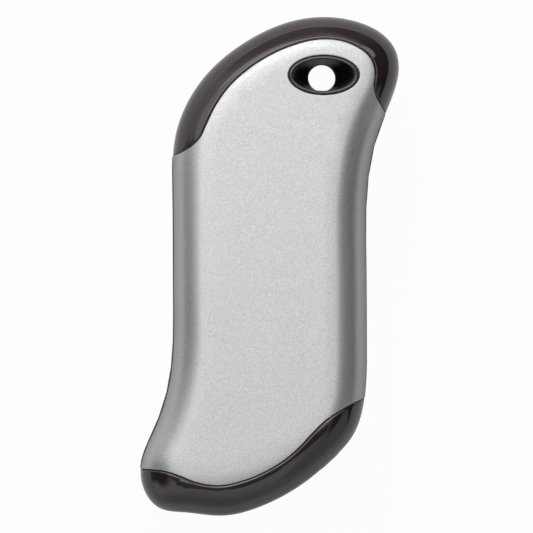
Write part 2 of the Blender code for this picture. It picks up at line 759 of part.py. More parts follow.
def raise_rails(net, upper, lower, columns, spans, skin):
    """Draws the strip between the shells' edges outwards, along both sides only."""
    strip = []
    for i, (start, end) in enumerate(zip(columns[:-1], columns[1:])):
        middle = (start + end) / 2
        if any(spans[name][0] < middle < spans[name][1] for name in ("right", "left")):
            corners = {upper[i], upper[i + 1], lower[i], lower[i + 1]}
            strip += [face for face in upper[i].link_faces if set(face.verts) == corners]
    grown = bmesh.ops.extrude_face_region(net, geom=strip)["geom"]
    bmesh.ops.delete(net, geom=strip, context="FACES")
    moved = [item for item in grown if isinstance(item, bmesh.types.BMVert)]
    left_plan, right_plan = (skin.band_point(skin.samples, 0.0, -proud)[:, :2]
                             for proud in (RAIL_PROUD_LEFT, RAIL_PROUD_RIGHT))
    base_plan = skin.band_point(skin.samples, 0.0, FRAME_DEPTH)[:, :2]
    for vert in moved:
        near = int(np.argmin(np.linalg.norm(base_plan - np.array(vert.co)[:2], axis=1)))
        vert.co.x, vert.co.y = (right_plan if vert.co.x > 0 else left_plan)[near]


def cut_frame_windows(frame, skin, controls):
    """One long window behind the small controls and one for the large socket."""
    places = np.linspace(*controls["window"], WINDOW_COLUMNS)
    corners = ((0.0, 1), (0.0, -1), (ROOM_DEPTH + OVERRUN, -1), (ROOM_DEPTH + OVERRUN, 1))
    rows = [skin.band_point(places, side * WINDOW_HEIGHT / 2, depth) for depth, side in corners]
    cut(frame, lofted_mesh(np.stack(rows, axis=1)))
    _, edge, _ = controls["usb"]
    size = (USB_WIDTH + 2 * WINDOW_MARGIN, USB_DEPTH, USB_HEIGHT + 2 * WINDOW_MARGIN)
    cut(frame, box_mesh(size), (edge[0], edge[1] + USB_DEPTH / 2, 0.0))


# Cells and what holds them

def make_cell(name, side, finishes, parent):
    """A round cell along Y, its raised contact towards the lanyard."""
    radius = CELL_DIAMETER / 2
    nub = CELL_NUB_DIAMETER / 2
    body = CELL_LENGTH - CELL_NUB_HEIGHT
    groove = body - CELL_GROOVE_PLACE
    profile = ((radius - CELL_EDGE, 0.0), (radius, CELL_EDGE),
               (radius, groove - CELL_EDGE), (radius - CELL_GROOVE_DEPTH, groove),
               (radius, groove + CELL_EDGE), (radius, body - CELL_EDGE),
               (radius - CELL_EDGE, body), (nub, body), (nub, CELL_LENGTH))
    place = (side * (CELL_DIAMETER + CELL_GAP) / 2, -LENGTH / 2 + BOTTOM_ROOM, 0.0)
    new_object(name, turned_mesh(profile, ROUND_SEGMENTS, "Y"), finishes["cell_wrap"],
               parent, place)


def stadium(radius, offset):
    """The outline round two circles that stand side by side, in X and Z."""
    plan = []
    for side in (1, -1):
        for k in range(STADIUM_STEPS + 1):
            turn = (k / STADIUM_STEPS - 0.5) * math.pi
            plan.append((side * (offset + radius * math.cos(turn)),
                         side * radius * math.sin(turn)))
    return plan


def make_bracket(name, end_y, outwards, shoulder, skin, finishes, parent):
    """A bracket on the cells' ends: two sockets, two windows, a strip channel and two ears."""
    offset = (CELL_DIAMETER + CELL_GAP) / 2
    radius = CELL_DIAMETER / 2 + GAP
    inner = end_y - outwards * (shoulder + SOCKET_DEPTH)
    lip = end_y + outwards * (GAP - shoulder)
    outer = end_y + outwards * (BRACKET_PLATE + GAP)
    ends = sorted((inner, outer))
    body = bar_mesh(stadium(radius + BRACKET_WALL, offset), *ends)
    bracket = new_object(name, body, finishes["frame_black"], parent)

    plan = clipped_plan(skin.inset_outline(ROOM_DEPTH + GAP), ends[0] + GAP, ends[1] - GAP)
    join(bracket, prism_mesh(plan, -EAR_HEIGHT / 2, EAR_HEIGHT / 2))
    for side in (1, -1):
        centre = (side * offset, 0.0, 0.0)
        socket = sorted((inner - outwards * OVERRUN, lip))
        window = sorted(((inner + lip) / 2, outer + outwards * OVERRUN))
        cut(bracket, rod_mesh(radius, *socket, ROUND_SEGMENTS, "Y"), centre)
        cut(bracket, rod_mesh(radius - BRACKET_LIP, *window, ROUND_SEGMENTS, "Y"), centre)
    channel = (STRIP_LENGTH + 2 * GAP, BRACKET_PLATE + 2 * OVERRUN, STRIP_WIDTH + 2 * GAP)
    start = end_y - outwards * shoulder
    cut(bracket, box_mesh(channel), (0.0, start + outwards * channel[1] / 2, 0.0))
    depth = abs(outer - inner) + 2 * OVERRUN
    notch = (NOTCH_WIDTH, depth, CELL_DIAMETER)
    cut(bracket, box_mesh(notch), (0.0, (inner + outer) / 2, CELL_DIAMETER / 2))


def make_strip(name, end_y, outwards, finishes, parent):
    """A welding strip across both cells, with a slot at each weld."""
    y = end_y + outwards * (GAP + STRIP_THICKNESS / 2)
    strip = new_object(name, box_mesh((STRIP_LENGTH, STRIP_THICKNESS, STRIP_WIDTH)),
                       finishes["nickel"], parent, (0.0, y, 0.0))
    for side in (1, -1):
        x = side * (CELL_DIAMETER + CELL_GAP) / 2
        slot = box_mesh((STRIP_SLOT_WIDTH, OVERRUN, STRIP_SLOT_LENGTH))
        cut(strip, slot, (x, y, (STRIP_WIDTH - STRIP_SLOT_LENGTH) / 2 + GAP))


def film_height():
    """Height of the middle of a heater film, just under its shell."""
    return HALF - SHELL_WALL - GAP - FILM_THICKNESS / 2


def make_film(name, side, skin, finishes, parent):
    places = np.linspace(0.0, 1.0, FILM_COLUMNS, endpoint=False)
    plan = skin.point(places, FILM_INSET_SHARE)[:, :2]
    top = eyelet_place()[1] - EYELET_WIDTH / 2 - FILM_EYELET_CLEARANCE
    plan = clipped_plan(plan, -LENGTH, top)
    net = prism_mesh(plan, -FILM_THICKNESS / 2, FILM_THICKNESS / 2)
    new_object(name, net, finishes["film_amber"], parent, (0.0, 0.0, side * film_height()))


def make_pad(name, side, finishes, parent):
    """A silicone pad between the cells and a film, from bracket to bracket."""
    top = LENGTH / 2 - TOP_ROOM - CELL_NUB_HEIGHT - SOCKET_DEPTH - PAD_END_CLEARANCE
    bottom = -LENGTH / 2 + BOTTOM_ROOM + SOCKET_DEPTH + PAD_END_CLEARANCE
    height = CELL_DIAMETER / 2 + GAP + PAD_THICKNESS / 2
    plan = rounded_plan(PAD_WIDTH, top - bottom, PAD_CORNER)
    net = prism_mesh(plan, -PAD_THICKNESS / 2, PAD_THICKNESS / 2)
    new_object(name, net, finishes["pad_grey"], parent,
               (0.0, (top + bottom) / 2, side * height))


# Board and its components

def make_board(skin, controls, finishes, parent):
    """The board follows the frame's inside, with a tab and a notch for the two sockets."""
    low = board_top() - BOARD_THICKNESS
    top_y = bracket_ends()[1] - BOARD_CLEARANCE
    plan = clipped_plan(skin.inset_outline(ROOM_DEPTH + BOARD_EDGE_CLEARANCE), -LENGTH, top_y)
    board = new_object("main_board", prism_mesh(plan, low, board_top()),
                       finishes["board_green"], parent)
    _, edge, inward = controls["micro"]
    tab_end = ROOM_DEPTH + MICRO_DEPTH / 2
    tab = box_mesh((MICRO_WIDTH, tab_end - MICRO_TAB_DEPTH, BOARD_THICKNESS),
                   (0.0, (tab_end + MICRO_TAB_DEPTH) / 2, (low + board_top()) / 2))
    join(board, tab, (*edge, 0.0), turn_of(inward))
    _, edge, inward = controls["usb"]
    depth = USB_RECESS + USB_DEPTH + GAP
    notch = box_mesh((USB_WIDTH + 2 * GAP, 2 * depth, USB_HEIGHT))
    cut(board, notch, (edge[0], edge[1], 0.0))
    for x_share, y_share in SCREW_PLACE_SHARES:
        hole = rod_mesh(SCREW_RADIUS + GAP, low - OVERRUN, board_top() + OVERRUN)
        cut(board, hole, (x_share * WIDTH, y_share * LENGTH, 0.0))


def make_screws(finishes, parent):
    """A round-headed screw in each board boss."""
    head = board_top() + GAP
    top = head + SCREW_HEAD_HEIGHT
    profile = ((SCREW_RADIUS / 2, head - SCREW_LENGTH),
               (SCREW_RADIUS, head - SCREW_LENGTH + SCREW_RADIUS), (SCREW_RADIUS, head),
               (SCREW_HEAD_RADIUS, head), (SCREW_HEAD_RADIUS, top - SCREW_SLOT),
               (SCREW_HEAD_RADIUS - SCREW_SLOT, top))
    for number, (x_share, y_share) in enumerate(SCREW_PLACE_SHARES, 1):
        screw = new_object(f"board_screw_{number}", turned_mesh(profile, SCREW_SEGMENTS),
                           finishes["steel"], parent, (x_share * WIDTH, y_share * LENGTH, 0.0))
        slot = box_mesh((2 * SCREW_HEAD_RADIUS + OVERRUN, SCREW_SLOT, 2 * SCREW_SLOT))
        cut(screw, slot, (x_share * WIDTH, y_share * LENGTH, top))


def on_board(height):
    """Height of the middle of a component that stands on the board."""
    return board_top() + GAP + height / 2


def make_component(name, shares, size, material, parent):
    """A block with broken edges that stands on the board."""
    place = (shares[0] * WIDTH, shares[1] * LENGTH, on_board(size[2]))
    net = box_mesh(size, bevel=size[2] * CHIP_BEVEL_SHARE)
    new_object(name, net, material, parent, place)


def make_components(finishes, parent):
    size = (INDUCTOR_SIZE, INDUCTOR_SIZE, INDUCTOR_HEIGHT)
    make_component("power_inductor", INDUCTOR_PLACE_SHARES, size, finishes["ferrite"], parent)
    size = (CONTROLLER_SIZE, CONTROLLER_SIZE, CHIP_HEIGHT)
    make_component("controller_chip", CONTROLLER_PLACE_SHARES, size, finishes["chip_black"],
                   parent)
    size = (CHARGER_SIZE, CHARGER_SIZE, CHIP_HEIGHT)
    make_component("charger_chip", CHARGER_PLACE_SHARES, size, finishes["chip_black"], parent)
    size = (CAPACITOR_LENGTH, CAPACITOR_WIDTH, CHIP_HEIGHT)
    for number, shares in enumerate(CAPACITOR_PLACE_SHARES, 1):
        make_component(f"board_capacitor_{number}", shares, size, finishes["pad_grey"], parent)


def thermistor_place():
    """The middle of the thermistor, which lies on the inner side of the front film."""
    x_share, y_share = THERMISTOR_PLACE_SHARES
    height = film_height() - FILM_THICKNESS / 2 - GAP - THERMISTOR_HEIGHT / 2
    return x_share * WIDTH, y_share * LENGTH, height


def make_thermistor(finishes, parent):
    size = (THERMISTOR_WIDTH, THERMISTOR_LENGTH, THERMISTOR_HEIGHT)
    net = box_mesh(size, bevel=THERMISTOR_HEIGHT * THERMISTOR_BEVEL_SHARE)
    new_object("thermistor", net, finishes["chip_black"], parent, thermistor_place())


# Sockets and controls on the lower edge; their own Y runs inwards from the skin

def turn_of(inward):
    return math.atan2(-inward[0], inward[1])


def place_controls(skin):
    """Where each control sits on the lower edge, one after another along it."""
    lights = (LIGHT_COUNT - 1) * LIGHT_PITCH + 2 * LIGHT_RADIUS
    to_lights = (MICRO_WIDTH + lights) / 2 + CONTROL_GAP
    to_button = to_lights + (lights + BUTTON_LENGTH) / 2 + CONTROL_GAP
    start = -MICRO_WIDTH / 2 - WINDOW_MARGIN
    end = to_button + BUTTON_LENGTH / 2 + FLANGE_WIDTH + WINDOW_MARGIN
    usb_u, usb_edge, _ = skin.edge_place(USB_PLACE_SHARE)
    return {"usb": (usb_u, usb_edge, np.array((0.0, 1.0))),
            "micro": skin.edge_place(MICRO_PLACE_SHARE),
            "lights": skin.edge_place(MICRO_PLACE_SHARE, to_lights),
            "button": skin.edge_place(MICRO_PLACE_SHARE, to_button),
            "window": (skin.edge_place(MICRO_PLACE_SHARE, start)[0],
                       skin.edge_place(MICRO_PLACE_SHARE, end)[0])}


def edge_spot(control, z=0.0):
    _, edge, inward = control
    return {"place": (edge[0], edge[1], z), "turn": turn_of(inward)}


def sleeve_mesh(section, start, depth):
    """A drawn sheet sleeve along Y, open at its start and closed at its other end."""
    outer = np.array(section)
    middle = (outer.min(axis=0) + outer.max(axis=0)) / 2
    inner = middle + (outer - middle) * (1 - 2 * SHEET / np.ptp(outer, axis=0))
    rings = ((outer, start + depth), (outer, start), (inner, start), (inner, start + depth - SHEET))
    return lofted_mesh([[(x, y, z) for x, z in ring] for ring, y in rings])


def make_usb(controls, finishes, parent):
    spot = edge_spot(controls["usb"])
    half_width, half_height = USB_WIDTH / 2, USB_HEIGHT / 2
    section = ((-half_width, -half_height), (half_width, -half_height),
               (half_width, half_height), (-half_width, half_height))
    net = sleeve_mesh(section, USB_RECESS, USB_DEPTH)
    new_object("usb_a_shell", net, finishes["steel"], parent, **spot)

    room = 2 * (SHEET + GAP)
    back = USB_RECESS + USB_DEPTH - SHEET - GAP
    base = (USB_WIDTH - room, USB_BASE_DEPTH, USB_HEIGHT - room)
    tongue = new_object("usb_a_tongue", box_mesh(base, (0.0, back - USB_BASE_DEPTH / 2, 0.0)),
                        finishes["tongue_black"], parent, **spot)
    front = USB_RECESS + USB_TONGUE_SETBACK
    blade_end = back - USB_BASE_DEPTH / 2
    blade_width = USB_WIDTH - 2 * (SHEET + USB_TONGUE_CLEARANCE)
    blade = box_mesh((blade_width, blade_end - front, USB_TONGUE_HEIGHT),
                     (0.0, (blade_end + front) / 2, USB_TONGUE_RISE))
    join(tongue, blade, **spot)

    contact_end = back - USB_BASE_DEPTH - GAP
    height = USB_TONGUE_RISE - USB_TONGUE_HEIGHT / 2 - GAP - USB_CONTACT_THICKNESS / 2
    contact_start = front + GAP
    size = (USB_CONTACT_WIDTH, contact_end - contact_start, USB_CONTACT_THICKNESS)
    for number in range(USB_CONTACT_COUNT):
        x = (number - (USB_CONTACT_COUNT - 1) / 2) * USB_CONTACT_PITCH
        contact = box_mesh(size, (x, (contact_end + contact_start) / 2, height))
        new_object(f"usb_a_contact_{number + 1}", contact, finishes["nickel"], parent, **spot)


def micro_section(extra=0.0):
    """Flat-topped section whose lower corners are drawn in."""
    top, floor = MICRO_WIDTH / 2 + extra, MICRO_FLOOR_WIDTH / 2 + extra
    high = MICRO_HEIGHT / 2 + extra
    return ((-floor, -high), (floor, -high), (top, 0.0), (top, high), (-top, high), (-top, 0.0))


def make_micro(controls, finishes, parent):
    spot = edge_spot(controls["micro"], on_board(MICRO_HEIGHT))
    net = sleeve_mesh(micro_section(), MICRO_RECESS, MICRO_DEPTH)
    new_object("micro_usb_shell", net, finishes["steel"], parent, **spot)

    room = 2 * (SHEET + GAP)
    back = MICRO_RECESS + MICRO_DEPTH - SHEET - GAP
    base = (MICRO_FLOOR_WIDTH - room, MICRO_BASE_DEPTH, MICRO_HEIGHT - room)
    tongue = new_object("micro_usb_tongue",
                        box_mesh(base, (0.0, back - MICRO_BASE_DEPTH / 2, 0.0)),
                        finishes["tongue_black"], parent, **spot)
    front = MICRO_RECESS + SHEET
    end = back - MICRO_BASE_DEPTH / 2
    blade = box_mesh((MICRO_TONGUE_WIDTH, end - front, MICRO_TONGUE_HEIGHT),
                     (0.0, (end + front) / 2, 0.0))
    join(tongue, blade, **spot)


def button_height():
    return on_board(SWITCH_HEIGHT)


def make_button(controls, finishes, parent):
    """A rounded key with a flange behind the cap's wall and a stem to the switch."""
    spot = edge_spot(controls["button"], button_height())
    corner = BUTTON_HEIGHT / 2 - GAP
    flange_start = CAP_WALL + FLANGE_CLEARANCE
    flange_end = flange_start + FLANGE_THICKNESS
    stem_start = (flange_start + flange_end) / 2
    net = bar_mesh(rounded_plan(BUTTON_LENGTH, BUTTON_HEIGHT, corner), -BUTTON_PROUD, stem_start)
    face = [edge for edge in net.edges if max(v.co.y for v in edge.verts) < 0]
    bmesh.ops.bevel(net, geom=face, offset=BUTTON_FACE_BEVEL, segments=1,
                    affect="EDGES")
    button = new_object("power_button", net, finishes["gloss_black"], parent, **spot)
    section = rounded_plan(BUTTON_LENGTH + 2 * FLANGE_WIDTH, BUTTON_HEIGHT + 2 * FLANGE_WIDTH,
                           corner)
    join(button, bar_mesh(section, flange_start, flange_end), **spot)
    stem_end = flange_end + STEM_LENGTH
    stem = box_mesh((STEM_WIDTH, stem_end - stem_start, STEM_HEIGHT),
                    (0.0, (stem_start + stem_end) / 2, 0.0))
    join(button, stem, **spot)

    tip = stem_end + GAP
    plunger = box_mesh((PLUNGER_WIDTH, PLUNGER_LENGTH, PLUNGER_HEIGHT),
                       (0.0, tip + PLUNGER_LENGTH / 2, 0.0))
    new_object("switch_plunger", plunger, finishes["tongue_black"], parent, **spot)
    face_at = tip + SWITCH_WALL_GAP
    switch = new_object("tact_switch",
                        box_mesh((SWITCH_WIDTH, SWITCH_DEPTH, SWITCH_HEIGHT),
                                 (0.0, face_at + SWITCH_DEPTH / 2, 0.0)),
                        finishes["steel"], parent, **spot)
    well_end = tip + PLUNGER_LENGTH + BUTTON_TRAVEL + GAP
    well = box_mesh((PLUNGER_WIDTH + 2 * GAP, well_end - face_at + OVERRUN,
                     PLUNGER_HEIGHT + 2 * GAP),
                    (0.0, (well_end + face_at - OVERRUN) / 2, 0.0))
    cut(switch, well, **spot)


def light_spots(controls, height):
    """A place and turn for each light, side by side along the edge."""
    _, edge, inward = controls["lights"]
    along = np.array((inward[1], -inward[0])) * LIGHT_PITCH
    middle = (LIGHT_COUNT - 1) / 2
    return [{"place": (*(edge + along * (number - middle)), height), "turn": turn_of(inward)}
            for number in range(LIGHT_COUNT)]


def make_lights(controls, finishes, parent):
    """Four lamps on the board and one clear pipe that takes their light to the skin."""
    height = on_board(LIGHT_BAR_HEIGHT)
    start = ROOM_DEPTH + GAP
    end = start + LIGHT_BAR_DEPTH
    size = ((LIGHT_COUNT - 1) * LIGHT_PITCH + 2 * LIGHT_RADIUS + GAP, LIGHT_BAR_DEPTH,
            LIGHT_BAR_HEIGHT)
    pipe = new_object("light_pipe", box_mesh(size, (0.0, (start + end) / 2, 0.0)),
                      finishes["clear_plastic"], parent, **edge_spot(controls["lights"], height))
    for spot in light_spots(controls, height):
        prong = rod_mesh(LIGHT_RADIUS, LIGHT_RECESS, (start + end) / 2, LIGHT_SEGMENTS, "Y")
        join(pipe, prong, **spot)
    for number, spot in enumerate(light_spots(controls, on_board(LED_HEIGHT)), 1):
        lamp = box_mesh((LED_WIDTH, LED_DEPTH, LED_HEIGHT), (0.0, end + GAP + LED_DEPTH / 2, 0.0))
        new_object(f"indicator_led_{number}", lamp, finishes["clear_plastic"], parent, **spot)


def open_cap(cap, controls):
    """Openings in the bottom cap for the sockets, the lights and the button."""
    reach = CAP_WALL + OVERRUN
    section = rounded_plan(USB_WIDTH + 2 * GAP, USB_HEIGHT + 2 * GAP, SHEET)
    cut(cap, bar_mesh(section, -reach, reach), **edge_spot(controls["usb"]))
    spot = edge_spot(controls["micro"], on_board(MICRO_HEIGHT))
    cut(cap, bar_mesh(micro_section(GAP), -reach, reach), **spot)
    section = rounded_plan(BUTTON_LENGTH + 2 * GAP, BUTTON_HEIGHT + 2 * GAP, BUTTON_HEIGHT / 2)
    spot = edge_spot(controls["button"], button_height())
    cut(cap, bar_mesh(section, -reach, reach), **spot)
    for spot in light_spots(controls, on_board(LIGHT_BAR_HEIGHT)):
        cut(cap, rod_mesh(LIGHT_RADIUS + GAP / 2, -reach, reach, LIGHT_SEGMENTS, "Y"), **spot)


# Leads, whose routes step from landmarks by multiples of their own radius r

def plus_lead_route():
    """From the top strip through both brackets' notches to the board, in the cells' valley."""
    strip = LENGTH / 2 - TOP_ROOM + 2 * GAP + STRIP_THICKNESS
    valley = CELL_DIAMETER * LEAD_VALLEY_SHARE
    bottom = -LENGTH / 2 + BOTTOM_ROOM
    rest = board_top() + GAP + LEAD_RADIUS
    r = LEAD_RADIUS
    return ((0.0, strip + r, r), (0.0, strip + 2.4 * r, 3 * r), (0.0, strip + 2 * r, 7 * r),
            (0.0, strip - 2 * r, valley), (0.0, strip - 8 * r, valley),
            (0.0, bottom + CELL_LENGTH * 2 / 3, valley), (0.0, bottom + CELL_LENGTH / 3, valley),
            (0.0, bottom, valley), (-r, bottom - 6 * r, valley - r),
            (-5 * r, bottom - 9 * r, valley - 6 * r), (-8 * r, bottom - 9 * r, rest + 2 * r),
            (-10 * r, bottom - 8 * r, rest))


def minus_lead_route():
    """From the bottom strip straight down to the board."""
    bottom = -LENGTH / 2 + BOTTOM_ROOM - 2 * GAP - STRIP_THICKNESS
    rest = board_top() + GAP + LEAD_RADIUS
    r = LEAD_RADIUS
    return ((9 * r, bottom - r / 4, 0.0), (9 * r, bottom - 3 * r, 0.2 * r),
            (9 * r, bottom - 6 * r, rest + 0.3 * r), (8.5 * r, bottom - 9 * r, rest))


def film_lead_height():
    return film_height() - FILM_THICKNESS / 2 - GAP - THIN_LEAD_RADIUS


def front_lead_route():
    """From under the front film down to the board."""
    top = film_lead_height()
    rest = board_top() + GAP + THIN_LEAD_RADIUS
    x, y = FRONT_LEAD_PLACE_SHARES[0] * WIDTH, FRONT_LEAD_PLACE_SHARES[1] * LENGTH
    r = THIN_LEAD_RADIUS
    return ((x, y, top), (x, y - 6 * r, top - r), (x, y - 10 * r, top - 7 * r),
            (x + r, y - 11 * r, rest + 9 * r), (x + 2 * r, y - 9 * r, rest + r),
            (x + 4 * r, y - 5 * r, rest))


def back_lead_route():
    """From over the back film, through the floor's hole, to the board's underside."""
    top = -film_lead_height()
    end = board_top() - BOARD_THICKNESS - GAP
    x, y = BACK_LEAD_PLACE_SHARES[0] * WIDTH, BACK_LEAD_PLACE_SHARES[1] * LENGTH
    r = THIN_LEAD_RADIUS
    return ((x, y, top), (x, y - 3 * r, top + r), (x, y - 6 * r, top + 5 * r),
            (x, y - 7 * r, top + 10 * r), (x, y - 7 * r, end))


def sensor_lead_route():
    """From the thermistor down to the board."""
    x, y, top = thermistor_place()
    rest = board_top() + GAP + THIN_LEAD_RADIUS
    start = y - THERMISTOR_LENGTH / 2 - GAP
    r = THIN_LEAD_RADIUS
    return ((x, start, top), (x, start - 4 * r, top - 2 * r), (x, start - 7 * r, top - 8 * r),
            (x, start - 8 * r, rest + 8 * r), (x + r, start - 6 * r, rest + r),
            (x + 3 * r, start - 3 * r, rest))


def make_lead(name, route, radius, material, parent):
    """A round lead through the points of its route."""
    corners = np.array(route)
    hops = np.concatenate(([0.0], np.cumsum(np.linalg.norm(np.diff(corners, axis=0), axis=1))))
    walk = np.linspace(0.0, hops[-1], LEAD_STEPS)
    line = np.stack([smooth_read(walk, hops, corners[:, k]) for k in range(3)], axis=1)
    curve = bpy.data.curves.new(name, "CURVE")
    curve.dimensions = "3D"
    curve.bevel_depth = radius
    curve.bevel_resolution = 1
    curve.use_fill_caps = True
    spline = curve.splines.new("POLY")
    spline.points.add(len(line) - 1)
    for point, place in zip(spline.points, line):
        point.co = (*place, 1.0)
    curve.materials.append(material)
    lead = bpy.data.objects.new(name, curve)
    bpy.context.scene.collection.objects.link(lead)
    lead.parent = parent


def main():
    clear_scene()
    finishes = make_finishes()
    body = bpy.data.objects.new("hand_warmer", None)
    bpy.context.scene.collection.objects.link(body)
    body.location = (0.0, 0.0, HALF)
    skin = Skin()
    controls = place_controls(skin)

    make_shell("front_shell", 1, skin, finishes, body)
    make_shell("back_shell", -1, skin, finishes, body)
    make_trim("top_trim", "top", skin, finishes, body)
    cap = make_trim("bottom_cap", "bottom", skin, finishes, body)
    open_cap(cap, controls)
    make_eyelet(finishes, body)
    make_frame(skin, controls, finishes, body)

    top_end = LENGTH / 2 - TOP_ROOM
    bottom_end = -LENGTH / 2 + BOTTOM_ROOM
    make_cell("battery_cell_left", -1, finishes, body)
    make_cell("battery_cell_right", 1, finishes, body)
    make_bracket("cell_bracket_top", top_end, 1, CELL_NUB_HEIGHT, skin, finishes, body)
    make_bracket("cell_bracket_bottom", bottom_end, -1, 0.0, skin, finishes, body)
    make_strip("nickel_strip_top", top_end, 1, finishes, body)
    make_strip("nickel_strip_bottom", bottom_end, -1, finishes, body)
    for name, side in (("front", 1), ("back", -1)):
        make_film(f"{name}_heater_film", side, skin, finishes, body)
        make_pad(f"{name}_heater_pad", side, finishes, body)

    make_board(skin, controls, finishes, body)
    make_screws(finishes, body)
    make_components(finishes, body)
    make_thermistor(finishes, body)
    make_usb(controls, finishes, body)
    make_micro(controls, finishes, body)
    make_button(controls, finishes, body)
    make_lights(controls, finishes, body)
    make_lead("battery_lead_plus", plus_lead_route(), LEAD_RADIUS, finishes["lead_red"], body)
    make_lead("battery_lead_minus", minus_lead_route(), LEAD_RADIUS, finishes["lead_black"], body)
    make_lead("front_heater_lead", front_lead_route(), THIN_LEAD_RADIUS, finishes["lead_white"],
              body)
    make_lead("back_heater_lead", back_lead_route(), THIN_LEAD_RADIUS, finishes["lead_white"],
              body)
    make_lead("thermistor_lead", sensor_lead_route(), THIN_LEAD_RADIUS, finishes["lead_black"],
              body)


main()
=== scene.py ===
"""Looks of a rechargeable hand warmer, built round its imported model.

Metres, +Z up, in the model's own frame: the front face looks up, the lanyard end is towards +Y and
the resting face lies at z = 0. The housing's skin is the same one that the solids follow. It is
read by U, the way round the outline, and V, the way up its rounded edge: 0 where the front
shoulder starts, below 0 on the side band, and further down on the back shoulder.
"""
import math

import bmesh
import bpy
import numpy as np
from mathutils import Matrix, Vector, geometry


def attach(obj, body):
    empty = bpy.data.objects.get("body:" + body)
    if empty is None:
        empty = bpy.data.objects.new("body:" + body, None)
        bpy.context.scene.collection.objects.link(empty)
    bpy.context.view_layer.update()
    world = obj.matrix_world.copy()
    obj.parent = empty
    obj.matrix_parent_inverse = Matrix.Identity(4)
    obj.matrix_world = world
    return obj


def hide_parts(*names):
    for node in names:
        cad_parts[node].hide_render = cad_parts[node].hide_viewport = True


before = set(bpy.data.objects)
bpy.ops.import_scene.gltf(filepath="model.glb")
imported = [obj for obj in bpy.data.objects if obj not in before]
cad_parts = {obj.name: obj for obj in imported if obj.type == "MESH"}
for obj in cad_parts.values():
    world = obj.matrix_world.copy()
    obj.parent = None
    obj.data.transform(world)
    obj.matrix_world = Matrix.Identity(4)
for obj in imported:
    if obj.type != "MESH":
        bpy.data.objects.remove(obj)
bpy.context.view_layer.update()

# Housing, as in the solids
WIDTH = 0.0684217
LENGTH = 0.132
HALF = 0.013
BAND = 0.0016
EDGE_ROUND = 0.010
SHOULDER_POWER = 2.25
SHELL_WALL = 0.001
GAP = 0.0003
LIP_REACH = 0.0018
CAP_WALL = 0.0023
OUTLINE_SHARES = (
    (0.373, 0.015), (0.3835, 0.188), (0.418, 0.2665), (0.476, 0.3425), (0.4995, 0.3965),
    (0.485, 0.4345), (0.4285, 0.468), (0.331, 0.491), (0.2205, 0.4995), (0.0645, 0.488),
    (-0.082, 0.453), (-0.211, 0.402), (-0.3065, 0.338), (-0.3645, 0.257), (-0.373, 0.162),
    (-0.370, -0.068), (-0.3935, -0.2485), (-0.4455, -0.327), (-0.4955, -0.397),
    (-0.487, -0.443), (-0.428, -0.483), (-0.324, -0.493), (-0.185, -0.4995),
    (-0.021, -0.4785), (0.1195, -0.439), (0.244, -0.3855), (0.323, -0.338), (0.368, -0.2585),
    (0.375, -0.1525))
INSET_SHARES = (
    (-0.945, 0.0), (-0.935, 0.095), (-0.885, 0.285), (-0.875, 0.135), (-0.92, -0.205),
    (-0.865, -0.475), (-0.675, -0.75), (-0.33, -0.935), (-0.01, -0.995), (0.355, -0.965),
    (0.56, -0.86), (0.705, -0.71), (0.85, -0.465), (0.91, -0.18), (0.89, -0.02),
    (0.88, -0.01), (0.86, -0.19), (0.85, -0.305), (1.015, 0.18), (1.045, 0.645),
    (0.875, 1.12), (0.475, 1.24), (0.125, 1.36), (-0.315, 1.255), (-0.645, 0.96),
    (-0.73, 0.76), (-0.895, 0.45), (-0.96, 0.14), (-0.945, 0.0))
TOP_SPLIT_SHARES = (
    (0.4467, 0.3063), (0.4261, 0.3204), (0.4045, 0.34), (0.3985, 0.3571), (0.4025, 0.3803),
    (0.3975, 0.3974), (0.3754, 0.418), (0.3397, 0.4321), (0.2779, 0.4457), (0.2105, 0.4497),
    (0.1643, 0.4477), (0.0759, 0.4351), (-0.0075, 0.4155), (-0.0844, 0.3893),
    (-0.1528, 0.3571), (-0.206, 0.3189), (-0.2452, 0.2777), (-0.2643, 0.2565),
    (-0.295, 0.2394), (-0.3347, 0.2274), (-0.3683, 0.2218))
BOTTOM_SPLIT_SHARES = (
    (-0.4955, -0.4046), (-0.4588, -0.4031), (-0.4116, -0.4041), (-0.3449, -0.4141),
    (-0.2811, -0.4272), (-0.2023, -0.4337), (-0.1014, -0.4242), (-0.0191, -0.4066),
    (0.0592, -0.382), (0.1114, -0.3589), (0.1581, -0.3328), (0.2068, -0.3077),
    (0.263, -0.2876), (0.3243, -0.2711), (0.37, -0.2625))

# Eyelet
EYELET_CENTRE = (0.2061 * WIDTH, 0.378 * LENGTH)
EYELET_OUTER = (0.0182, 0.01)
EYELET_MOUTH = (0.0160, 0.0082)
EYELET_BACK_MOUTH = (0.0162, 0.0094)
EYELET_BORE = 0.0072
BORE_SHIFT = -0.0003
EYELET_FUNNEL = 0.0112
EYELET_PROUD = 0.0004
EYELET_SEGMENTS = 128

# Rounded edges of the pieces, and how finely their skins are drawn
SEAM = 0.00014
EDGE_RADIUS = 0.00025
TRIM_EDGE_RADIUS = 0.0006
BAND_EDGE_RADIUS = 0.00015
BAND_EDGE_EASE = 0.004
EYELET_EDGE_RADIUS = 0.00035
PORT_RADIUS = 0.0003
LIGHT_EDGE_RADIUS = 0.0001
ROUND_STEPS = 5
EDGE_STEP = 0.00032
SKIN_STEP = 0.0008
CROWN_STEP = 0.003
CLEAR_OF_EDGE = 0.0004
SHOULDER_LENGTH = 0.0156
CHART_SPREAD = 0.7
SLOPE_STEP = 0.00002
LEAST_LEVEL = 0.01

# How the outline and the split lines are sampled
OUTLINE_SAMPLES = 12001
OUTLINE_NUDGE = 1 / 6000
CROWN_STRIDE = 20
SPLIT_POINTS = 1600
SPLIT_END_HOPS = 3
RUN_OUT = 0.003
RUN_OUT_POINTS = 240
RING_STRIDE = 4
SHARE_RANGE = (-0.4, 1.5)
FIT_ROUNDS = 8
FIT_NUDGE = 1e-5

